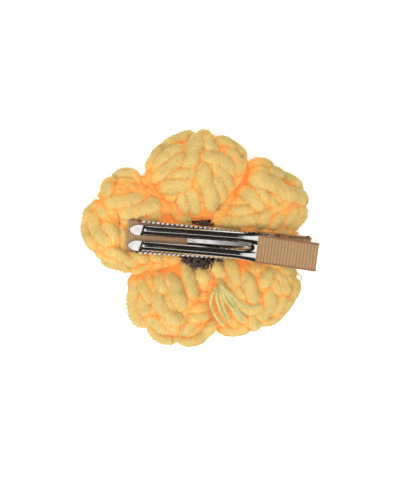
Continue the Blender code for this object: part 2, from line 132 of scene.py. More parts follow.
def mixed(tree, share, a, b, blend="MIX"):
    made = node(tree, "ShaderNodeMix", data_type="RGBA", blend_type=blend)
    for socket, value in ((made.inputs[0], share), (made.inputs[6], a), (made.inputs[7], b)):
        if isinstance(value, bpy.types.NodeSocket):
            tree.links.new(value, socket)
        else:
            socket.default_value = value if isinstance(value, float) else (*value, 1.0)
    return made.outputs[2]


def bump(tree, height, strength, distance, normal=None):
    inputs = {"Height": height, "Strength": strength, "Distance": distance}
    if normal:
        inputs["Normal"] = normal
    return node(tree, "ShaderNodeBump", inputs).outputs["Normal"]


def yarn_material(name, lit, deep, deep_shade_colour, painted_glow, sheen):
    """Plied yarn: fibres along each ply, painted shade in the furrows, painted shade that deepens towards
    orange down between the strands, and a painted glow.
    """
    made, tree, shader = new_material(name)
    lay = node(tree, "ShaderNodeUVMap", uv_map="yarn").outputs["UV"]
    stretched = node(tree, "ShaderNodeMapping", {"Vector": lay, "Scale": (5.0, 26.0, 1.0)}).outputs[0]
    along = {"Vector": stretched, "Scale": 1.0, "Detail": 3.0}
    fibres = node(tree, "ShaderNodeTexNoise", along).outputs["Fac"]
    place = node(tree, "ShaderNodeTexCoord").outputs["Object"]
    broad = {"Vector": place, "Scale": 240.0, "Detail": 2.0}
    patches = node(tree, "ShaderNodeTexNoise", broad).outputs["Fac"]
    fuzz = node(tree, "ShaderNodeTexNoise", {"Vector": place, "Scale": 1900.0, "Detail": 3.0}).outputs["Fac"]
    depth = node(tree, "ShaderNodeAttribute", attribute_name="depth").outputs["Fac"]
    furrow = node(tree, "ShaderNodeAttribute", attribute_name="furrow").outputs["Fac"]
    uneven = math_node(tree, "MULTIPLY", math_node(tree, "SUBTRACT", patches, 0.45), 0.75)
    level = math_node(tree, "ADD", depth, uneven)
    # Painted shade: the colour runs from lit through the shaded colour to the deepest painted shade as the
    # yarn lies deeper, more crowded or in a crease.
    colour = ramp(tree, level, [(0.0, lit), (0.08, lit), (0.52, deep), (0.92, deep_shade_colour)])
    streaks = ramp(tree, fibres, [(0.34, (0.86, 0.78, 0.62)), (0.62, (1.0, 1.0, 1.0))])
    colour = mixed(tree, 0.9, colour, streaks, "MULTIPLY")
    specks = ramp(tree, fuzz, [(0.36, (0.84, 0.78, 0.66)), (0.60, (1.0, 1.0, 1.0))])
    colour = mixed(tree, 0.9, colour, specks, "MULTIPLY")
    # Painted shade in the furrows between the plies: they take the shaded colour.
    colour = mixed(tree, math_node(tree, "MULTIPLY", furrow, 0.7), colour, deep, "MIX")
    tree.links.new(colour, shader.inputs["Base Color"])
    relief = bump(tree, fuzz, 0.5, 0.22 * MM, bump(tree, fibres, 0.8, 0.35 * MM))
    tree.links.new(relief, shader.inputs["Normal"])
    # Painted glow: the yarn emits its own colour everywhere, more strongly where its painted shade is deeper.
    tree.links.new(colour, shader.inputs["Emission Color"])
    lifted = math_node(tree, "MAXIMUM", math_node(tree, "ADD", level, 0.12), 0.0)
    tree.links.new(math_node(tree, "MULTIPLY", lifted, painted_glow), shader.inputs["Emission Strength"])
    shader.inputs["Roughness"].default_value = 0.9
    shader.inputs["Sheen Weight"].default_value = sheen
    shader.inputs["Sheen Roughness"].default_value = 0.4
    shader.inputs["Specular IOR Level"].default_value = 0.15
    shader.inputs["Subsurface Weight"].default_value = 0.3 if painted_glow else 0.0
    shader.inputs["Subsurface Radius"].default_value = (1.0, 0.6, 0.3)
    shader.inputs["Subsurface Scale"].default_value = 0.6 * MM
    return made


def steel_material(name, tint, roughness, brushed):
    """Bright plated steel with fine drawn lines and small handling marks."""
    made, tree, shader = new_material(name)
    place = node(tree, "ShaderNodeTexCoord").outputs["Object"]
    along = node(tree, "ShaderNodeMapping", {"Vector": place, "Scale": (60.0, 2600.0, 2600.0)}).outputs[0]
    lines = node(tree, "ShaderNodeTexNoise", {"Vector": along, "Scale": 1.0, "Detail": 2.0}).outputs["Fac"]
    marks = node(tree, "ShaderNodeTexNoise", {"Vector": place, "Scale": 420.0, "Detail": 4.0}).outputs["Fac"]
    rough = node(
        tree, "ShaderNodeMapRange",
        {"Value": marks, "From Min": 0.35, "From Max": 0.75, "To Min": roughness, "To Max": roughness + 0.12},
    ).outputs[0]
    shade = ramp(tree, marks, [(0.35, tint), (0.8, tuple(0.9 * c for c in tint))])
    tree.links.new(shade, shader.inputs["Base Color"])
    tree.links.new(rough, shader.inputs["Roughness"])
    tree.links.new(bump(tree, lines, brushed, 0.01 * MM), shader.inputs["Normal"])
    shader.inputs["Metallic"].default_value = 1.0
    return made


def ribbon_material():
    """Grosgrain: its ribs are modelled, and its threads, painted shade in its grooves and its darker
    selvedges are made here.
    """
    made, tree, shader = new_material("tan_grosgrain")
    lay = node(tree, "ShaderNodeUVMap", uv_map="ribbon").outputs["UV"]
    threads = node(
        tree, "ShaderNodeTexWave",
        {"Vector": lay, "Scale": 11.0, "Distortion": 0.6, "Detail": 1.0, "Detail Scale": 2.0},
        bands_direction="Y",
    ).outputs["Fac"]
    place = node(tree, "ShaderNodeTexCoord").outputs["Object"]
    wear = node(tree, "ShaderNodeTexNoise", {"Vector": place, "Scale": 900.0, "Detail": 3.0}).outputs["Fac"]
    groove_shade = node(tree, "ShaderNodeAttribute", attribute_name="groove_shade").outputs["Fac"]
    edge = node(tree, "ShaderNodeAttribute", attribute_name="edge").outputs["Fac"]
    # Painted shade: the colour darkens from the rib crowns down the flanks to the groove floors.
    crown, flank, groove_floor_shade = (0.60, 0.375, 0.195), (0.50, 0.30, 0.145), (0.29, 0.165, 0.072)
    colour = ramp(tree, groove_shade, [(0.0, crown), (0.5, flank), (1.0, groove_floor_shade)])
    colour = mixed(tree, edge, colour, (0.40, 0.19, 0.10))
    shades = ramp(tree, threads, [(0.15, (0.80, 0.78, 0.75)), (0.7, (1.0, 1.0, 1.0))])
    colour = mixed(tree, 0.55, colour, shades, "MULTIPLY")
    worn = ramp(tree, wear, [(0.35, (0.88, 0.87, 0.86)), (0.65, (1.05, 1.04, 1.02))])
    colour = mixed(tree, 0.6, colour, worn, "MULTIPLY")
    tree.links.new(colour, shader.inputs["Base Color"])
    tree.links.new(bump(tree, threads, 0.5, 0.08 * MM), shader.inputs["Normal"])
    shader.inputs["Roughness"].default_value = 0.72
    shader.inputs["Sheen Weight"].default_value = 0.2
    shader.inputs["Specular IOR Level"].default_value = 0.3
    return made


def glue_material():
    """Milky hot glue, with small bubbles."""
    made, tree, shader = new_material("hot_glue")
    place = node(tree, "ShaderNodeTexCoord").outputs["Object"]
    bubbles = node(tree, "ShaderNodeTexVoronoi", {"Vector": place, "Scale": 900.0}).outputs["Distance"]
    colour = ramp(tree, bubbles, [(0.05, (0.93, 0.92, 0.88)), (0.35, (0.80, 0.77, 0.68))])
    tree.links.new(colour, shader.inputs["Base Color"])
    tree.links.new(bump(tree, bubbles, 0.2, 0.1 * MM), shader.inputs["Normal"])
    shader.inputs["Roughness"].default_value = 0.28
    shader.inputs["Subsurface Weight"].default_value = 0.3
    shader.inputs["Subsurface Scale"].default_value = 1.0 * MM
    return made


# Each yarn: its lit colour, its painted shade, its deepest painted shade, the strength of its painted glow
# and its sheen.
YELLOW = yarn_material(
    "yellow_yarn", (0.885, 0.785, 0.345), (0.94, 0.535, 0.15), (0.97, 0.33, 0.075), 0.42, 0.05
)
BROWN = yarn_material(
    "brown_yarn", (0.165, 0.085, 0.058), (0.05, 0.024, 0.017), (0.02, 0.01, 0.008), 0.0, 0.5
)
STEEL = steel_material("polished_steel", (0.90, 0.87, 0.845), 0.06, 0.05)
JAW_STEEL = steel_material("polished_steel_jaw", (0.90, 0.87, 0.845), 0.09, 0.06)
SPRING = steel_material("spring_steel", (0.50, 0.50, 0.51), 0.22, 0.30)
RIBBON = ribbon_material()
GLUE = glue_material()


# ---- yarn ---------------------------------------------------------------------------------------------
STEP = 0.65  # mm between stations of a strand
PLIES = 8
RIDGE = 0.13  # height of a ply over the furrow beside it, as a share of the radius
TWIST = 11.0  # mm of yarn for each full turn of its plies
HAIR = 0.055  # radius of a loose fibre, mm
DEPTH_RANGE = 4.0  # mm below the surface at which the yarn takes its deepest painted shade
CLIP_PLACE = Vector((-1.2, 2.75, 0.0))  # where the clip's own frame lies on the flower, mm
CLIP_BED = (-26.5, 38.0, 6.1)  # from the tip to the tail and half as wide: the yarn is pressed flat there
BED_TOP = 14.2  # the yarn under the clip stays below this
CAP = 0.2  # mm that a strand's point stands out from its last ring
# The colour takes painted shade where strands meet: this near a neighbour, over this far, as shares of its
# radius.
CROWDED_WITHIN, CROWDED_FADE = 1.10, 0.26
CROWDED_SHADE = 0.42  # how much painted shade there, as a share of its range
PRESSED_BELOW, PRESSED_INTO = 0.6, 0.9  # mm: the yarn below this height is pressed into that little


def through(points, step=STEP):
    """A smooth curve through the points, as evenly spaced stations."""
    points = [np.array(p, float) for p in points]
    if len(points) == 2:
        points.insert(1, (points[0] + points[1]) / 2)
    ends = [2 * points[0] - points[1]] + points + [2 * points[-1] - points[-2]]
    fine = []
    for a, b, c, d in zip(ends, ends[1:], ends[2:], ends[3:]):
        for t in np.linspace(0.0, 1.0, 12, endpoint=False):
            squared, cubed = 2 * a - 5 * b + 4 * c - d, 3 * b - a - 3 * c + d
            fine.append(0.5 * (2 * b + (c - a) * t + squared * t**2 + cubed * t**3))
    fine.append(points[-1])
    fine = np.array(fine)
    run = np.concatenate([[0.0], np.cumsum(np.linalg.norm(np.diff(fine, axis=0), axis=1))])
    at = np.linspace(0.0, run[-1], max(5, int(run[-1] / step) + 1))
    return np.stack([np.interp(at, run, fine[:, k]) for k in range(fine.shape[1])], axis=1)


def settle(values, rounds=2):
    """Evens out values along a strand, the ends apart."""
    values = values.copy()
    for _ in range(rounds):
        values[1:-1] = 0.5 * values[1:-1] + 0.25 * (values[:-2] + values[2:])
    return values


class Strand:
    """One visible length of yarn: stations, the outward direction at each, and its radius."""

    def __init__(self, points, normals, radius, dive=0.9, flat=0.74, sides=2 * PLIES):
        self.points = settle(np.array(points, float))
        normals = settle(np.array(normals, float), 4)
        self.normals = normals / np.linalg.norm(normals, axis=1)[:, None]
        run = np.concatenate([[0.0], np.cumsum(np.linalg.norm(np.diff(self.points, axis=0), axis=1))])
        end = np.clip(np.minimum(run, run[-1] - run) / (2.2 * radius), 0.0, 1.0)
        self.radius = radius * (0.62 + 0.38 * np.sin(0.5 * math.pi * end))
        self.points -= self.normals * (dive * radius * (1 - end) ** 1.6)[:, None]
        self.flat = flat
        self.sides = sides


def push_apart(strands, rounds=10, give=0.68):
    """Neighbouring strands press against each other instead of passing through each other."""
    points = np.concatenate([s.points for s in strands])
    home = points.copy()
    radius = np.concatenate([s.radius for s in strands])
    owner = np.concatenate([np.full(len(s.points), k) for k, s in enumerate(strands)])
    ends = np.cumsum([len(s.points) for s in strands])[:-1]
    apart = owner[:, None] != owner[None, :]
    reach = give * (radius[:, None] + radius[None, :])
    for _ in range(rounds):
        away = points[:, None, :] - points[None, :, :]
        distance = np.linalg.norm(away, axis=2) + 1e-6
        overlap = np.where(apart, np.clip(reach - distance, 0.0, None), 0.0)
        weight = overlap / distance / np.maximum(1.0, (overlap > 0).sum(1))[:, None]
        points += 0.5 * (away * weight[:, :, None]).sum(1)
        points += 0.15 * (home - points)
        points = np.concatenate([settle(part, 1) for part in np.split(points, ends)])
    for strand, part in zip(strands, np.split(points, ends)):
        strand.points = part


def keep_under_clip(strand):
    """Presses a strand down where the clip lies on it."""
    x = strand.points[:, 0] - CLIP_PLACE.x
    y = np.abs(strand.points[:, 1] - CLIP_PLACE.y)
    start, stop, half = CLIP_BED
    inside = np.clip((half + 1.4 - y) / 1.4, 0, 1) * np.clip((x - start + 1.4) / 1.4, 0, 1)
    inside *= np.clip((stop - x) / 1.4, 0, 1)
    lowered = np.minimum(strand.points[:, 2], BED_TOP - strand.flat * strand.radius)
    strand.points[:, 2] += (lowered - strand.points[:, 2]) * inside
    strand.points = settle(strand.points, 1)


def sweep(strand, draw):
    """Vertices, faces, (length, turn) and furrow share: every second line of vertices is a ply's crest."""
    points, radius, sides = strand.points, strand.radius, strand.sides
    tangent = np.gradient(points, axis=0)
    tangent /= np.linalg.norm(tangent, axis=1)[:, None]
    normal = strand.normals - (strand.normals * tangent).sum(1)[:, None] * tangent
    normal /= np.linalg.norm(normal, axis=1)[:, None]
    side = np.cross(tangent, normal)
    run = np.concatenate([[0.0], np.cumsum(np.linalg.norm(np.diff(points, axis=0), axis=1))])
    start_turn = draw.uniform(0, math.pi)
    turn = start_turn + 2 * math.pi * (np.arange(sides)[None, :] / sides + run[:, None] / TWIST)
    furrow = (np.arange(sides) % 2).astype(float) if sides == 2 * PLIES else np.zeros(sides)
    plump = np.array([draw.uniform(0.7, 1.3) for _ in range(sides)])
    crest = 1 + RIDGE * plump * (1 - 2 * furrow) * (sides == 2 * PLIES)
    waves = 1 + 0.05 * np.sin(run * draw.uniform(0.7, 1.1) + draw.uniform(0, 6.0))
    rough = np.random.default_rng(draw.randrange(10**6)).normal(1.0, 0.02, (len(points), sides))
    size = (radius * waves)[:, None] * crest[None, :] * rough
    ring = (
        points[:, None, :]
        + normal[:, None, :] * (np.cos(turn) * size * strand.flat)[:, :, None]
        + side[:, None, :] * (np.sin(turn) * size)[:, :, None]
    )
    count = len(points)
    caps = [points[:1] - tangent[:1] * CAP, points[-1:] + tangent[-1:] * CAP]
    verts = np.concatenate([ring.reshape(-1, 3), *caps])
    faces, lay = [], []
    for i in range(count - 1):
        a, b = run[i] / 10, run[i + 1] / 10
        for j in range(sides):
            k = (j + 1) % sides
            u, v = j / sides, (j + 1) / sides
            faces.append((i * sides + j, i * sides + k, (i + 1) * sides + k, (i + 1) * sides + j))
            lay += [(a, u), (a, v), (b, v), (b, u)]
    last, length = (count - 1) * sides, run[-1] / 10
    for j in range(sides):
        k = (j + 1) % sides
        faces += [(count * sides, k, j), (count * sides + 1, last + j, last + k)]
        lay += [(0.0, 0.5), (0.0, (j + 1) / sides), (0.0, j / sides)]
        lay += [(length, 0.5), (length, j / sides), (length, (j + 1) / sides)]
    return verts, faces, lay, np.concatenate([np.tile(furrow, count), [0.5, 0.5]])


def crowding(strands, sets):
    """For each strand's vertices, how closely another strand lies against them, from 0 to 1."""
    centres = np.concatenate([s.points for s in strands])
    reach = np.concatenate([s.radius for s in strands])
    owner = np.concatenate([np.full(len(s.points), k) for k, s in enumerate(strands)])
    made = []
    for k, verts in enumerate(sets):
        others = owner != k
        gap = verts[:, None, :] - centres[others][None, :, :]
        away = np.linalg.norm(gap, axis=2) / reach[others][None, :]
        made.append(np.clip((CROWDED_WITHIN - away.min(1)) / CROWDED_FADE, 0.0, 1.0))
    return made


VALLEYS = (133.1, 65.2, -0.6, -75.5, -151.2)  # directions of the creases between the petals, degrees
CREASE_SHADE = 0.55  # how much painted shade deepens the colour in a crease, as a share of its range
CREASE_WIDTH, CREASE_FLAT = 3.2, 1.35  # mm over which that fades, and where the fade starts, in such widths
CREASE_FADE = 3.0  # mm below the clip's bed over which a crease takes its full painted shade


def depths(surface, verts):
    """How far below the surface, or down in a crease between petals, each point lies, from 0 to 1: the share
    of painted shade there.
    """
    made = []
    for point in verts:
        near, normal, _, _ = surface.find_nearest(Vector(point))
        made.append((near - Vector(point)).dot(normal) / DEPTH_RANGE)
    made = np.clip(np.array(made), 0.0, 1.0)
    for direction in np.radians(VALLEYS):
        out = verts[:, 0] * math.cos(direction) + verts[:, 1] * math.sin(direction)
        aside = np.abs(verts[:, 1] * math.cos(direction) - verts[:, 0] * math.sin(direction))
        low = np.clip((BED_TOP - verts[:, 2]) / CREASE_FADE, 0.0, 1.0)
        made += CREASE_SHADE * (out > 0) * np.clip(CREASE_FLAT - aside / CREASE_WIDTH, 0.0, 1.0) * low
    return made


# Where the stitches part and a deeper painted shade shows: (out, across, radius) in mm on each petal's back.
POCKETS = {
    "petal_top": [
        (32, -7.5, 1.6), (22.5, 2.5, 1.3), (22.5, -1, 1.2), (29, 1.5, 1.2), (21.5, -12, 2.6), (14, 12.5, 1.8),
    ],
    "petal_upper_right": [(24.5, -2, 1.8), (30.5, -1.5, 1.4)],
    "petal_lower_right": [
        (14, 4.5, 2.6), (21, 4.5, 1.8), (29, 0.5, 1.6), (25, -3, 1.4), (27, 4, 1.2),
        (12.5, -7.5, 1.8), (24.5, -10, 1.6),
    ],
    "petal_lower_left": [
        (19, 7.5, 2.2), (12, 11, 1.8), (27.5, -2.5, 1.8), (23.5, 12, 1.8), (10.5, -5.5, 2.2),
    ],
    "petal_left": [(31, -11.5, 2.4), (24, -13.5, 2.6), (26.5, -8, 1.2), (34, -2.5, 1.2), (29, 4.5, 1.4)],
}


def pocket_shade(verts, depth):
    """Deepens the painted shade in the pockets of the back."""
    share = np.zeros(len(verts))
    for name, places in POCKETS.items():
        for out, across, radius in places:
            x, y = petal_point(name, out, across)
            away = np.hypot(verts[:, 0] - x, verts[:, 1] - y) / radius
            share = np.maximum(share, np.clip(1.5 - away, 0.0, 1.0))
    share *= np.clip((verts[:, 2] - 5.0) / 3.0, 0.0, 1.0)
    return np.clip(depth * (1.0 + 0.7 * share) + 0.25 * share, 0.0, 1.0)


def hairs(strands, count, length, draw):
    """Loose fibres that stand off the strands: vertices, faces and (length, turn) of thin bent prisms."""
    pick_from = np.random.default_rng(draw.randrange(10**6))
    centres = np.concatenate([s.points for s in strands])
    outward = np.concatenate([s.normals for s in strands])
    radius = np.concatenate([s.radius for s in strands])
    pick = pick_from.integers(0, len(centres), count)
    lean = outward[pick] * pick_from.uniform(0.1, 1.0, (count, 1)) + pick_from.normal(0, 0.7, (count, 3))
    lean /= np.linalg.norm(lean, axis=1)[:, None]
    sag = pick_from.normal(0, 0.5, (count, 3))
    side = np.cross(lean, sag)
    side /= np.linalg.norm(side, axis=1)[:, None]
    reach = pick_from.uniform(0.4, 1.0, (count, 1)) * length
    start = centres[pick] + lean * radius[pick, None] * 0.75
    rings = []
    for share in (0.0, 0.35, 0.7, 1.0):
        middle = start + reach * (lean * share + sag * share**2)
        for corner in range(3):
            turn = 2 * math.pi * corner / 3
            spoke = side * math.cos(turn) + np.cross(lean, side) * math.sin(turn)
            rings.append(middle + HAIR * (1 - 0.5 * share) * spoke)
    verts = np.stack(rings, axis=1).reshape(-1, 3)
    faces, lay = [], []
    for hair in range(count):
        for ring in range(3):
            base = hair * 12 + ring * 3
            for corner in range(3):
                after = (corner + 1) % 3
                faces.append((base + corner, base + after, base + after + 3, base + corner + 3))
                lay += [(0.0, 0.1), (0.0, 0.2), (0.1, 0.2), (0.1, 0.1)]
    return verts, faces, lay


def rested(verts):
    """The points, with what would sink into the table pressed flat on it."""
    pressed = verts.copy()
    low = np.clip(PRESSED_BELOW - verts[:, 2], 0.0, None)
    sunk = PRESSED_INTO * (1.0 - np.exp(-low / PRESSED_INTO))
    pressed[:, 2] = np.maximum(verts[:, 2], PRESSED_BELOW) - sunk
    return pressed


def yarn_mesh(name, strands, loose, fluff, finish, surface, core, seed, shaped=np.array):
    """All strands of a piece as one mesh on its soft core, with what the material reads at each point."""
    draw = random.Random(seed)
    swept = [sweep(strand, draw) for strand in strands]
    crowded = crowding(strands, [part[0] for part in swept])
    verts = np.concatenate([part[0] for part in swept])
    # The painted shade mask: depth below the surface, crowding by neighbours, creases and pockets.
    depth = [pocket_shade(verts, depths(surface, verts) + CROWDED_SHADE * np.concatenate(crowded))]
    furrow = [part[3] for part in swept]
    core_verts, core_faces = core
    core_lay = [(core_verts[i][0] / 10, core_verts[i][1] / 10) for face in core_faces for i in face]
    parts = [part[:3] for part in swept] + [(core_verts, core_faces, core_lay)]
    # The core takes nearly the deepest painted shade.
    depth.append(np.full(len(core_verts), 0.9))
    thin = [sweep(strand, draw)[:3] for strand in loose] + [hairs(strands, fluff, 1.7, draw)]
    parts += thin
    depth += [np.zeros(len(part[0])) for part in thin]
    furrow.append(np.zeros(sum(len(d) for d in depth) - len(verts)))
    faces, lay, start = [], [], 0
    for part_verts, part_faces, part_lay in parts:
        faces += [tuple(i + start for i in face) for face in part_faces]
        lay += part_lay
        start += len(part_verts)
    mesh = bpy.data.meshes.new(name)
    placed = rested(shaped(np.concatenate([part[0] for part in parts])))
    mesh.from_pydata((placed * MM).tolist(), [], faces)
    mesh.uv_layers.new(name="yarn").data.foreach_set("uv", [c for corner in lay for c in corner])
    for label, values in (("depth", depth), ("furrow", furrow)):
        mesh.attributes.new(label, "FLOAT", "POINT").data.foreach_set("value", np.concatenate(values))
    mesh.shade_smooth()
    mesh.materials.append(finish)
    obj = bpy.data.objects.new(name, mesh)
    bpy.context.scene.collection.objects.link(obj)
    return obj


def node_surface(name):
    """A CAD node's surface, in millimetres."""
    mesh = NODES[name].data
    verts = [v.co / MM for v in mesh.vertices]
    return BVHTree.FromPolygons(verts, [tuple(p.vertices) for p in mesh.polygons])


def shrunk_core(name, back, sides, root):
    """A CAD node's solid moved in, as vertices and faces: it closes the gaps between strands.

    It moves in by one depth on the back, another on the sides and another towards the flower's middle.
    """
    shape = bmesh.new()
    shape.from_mesh(NODES[name].data)
    bmesh.ops.remove_doubles(shape, verts=shape.verts, dist=1e-6)
    bmesh.ops.triangulate(shape, faces=shape.faces)
    bmesh.ops.subdivide_edges(shape, edges=shape.edges, cuts=1, use_grid_fill=True)
    for _ in range(2):
        bmesh.ops.smooth_vert(
            shape, verts=shape.verts, factor=0.5, use_axis_x=True, use_axis_y=True, use_axis_z=True
        )
    shape.normal_update()
    moved = []
    for vert in shape.verts:
        outward = Vector((vert.co.x, vert.co.y, 0.0)).normalized()
        upward = max(0.0, vert.normal.z)
        inset = root if vert.normal.dot(outward) < -0.5 else sides + (back - sides) * upward
        inset *= min(1.0, max(0.2, (math.hypot(vert.co.x, vert.co.y) / MM - 10.0) / 6.0))
        moved.append(vert.co / MM - vert.normal * inset)
    faces = [tuple(v.index for v in face.verts) for face in shape.faces]
    shape.free()
    return np.array(moved), faces


# ---- petals -------------------------------------------------------------------------------------------
PETAL_TURN = {
    "petal_top": 98.4,
    "petal_upper_right": 34.4,
    "petal_lower_right": -39.6,
    "petal_lower_left": -114.6,
    "petal_left": 170.9,
}
ROUTE_HEIGHT = 12.0  # mm: the stitches' routes are laid out at this height, then dropped along the sight line

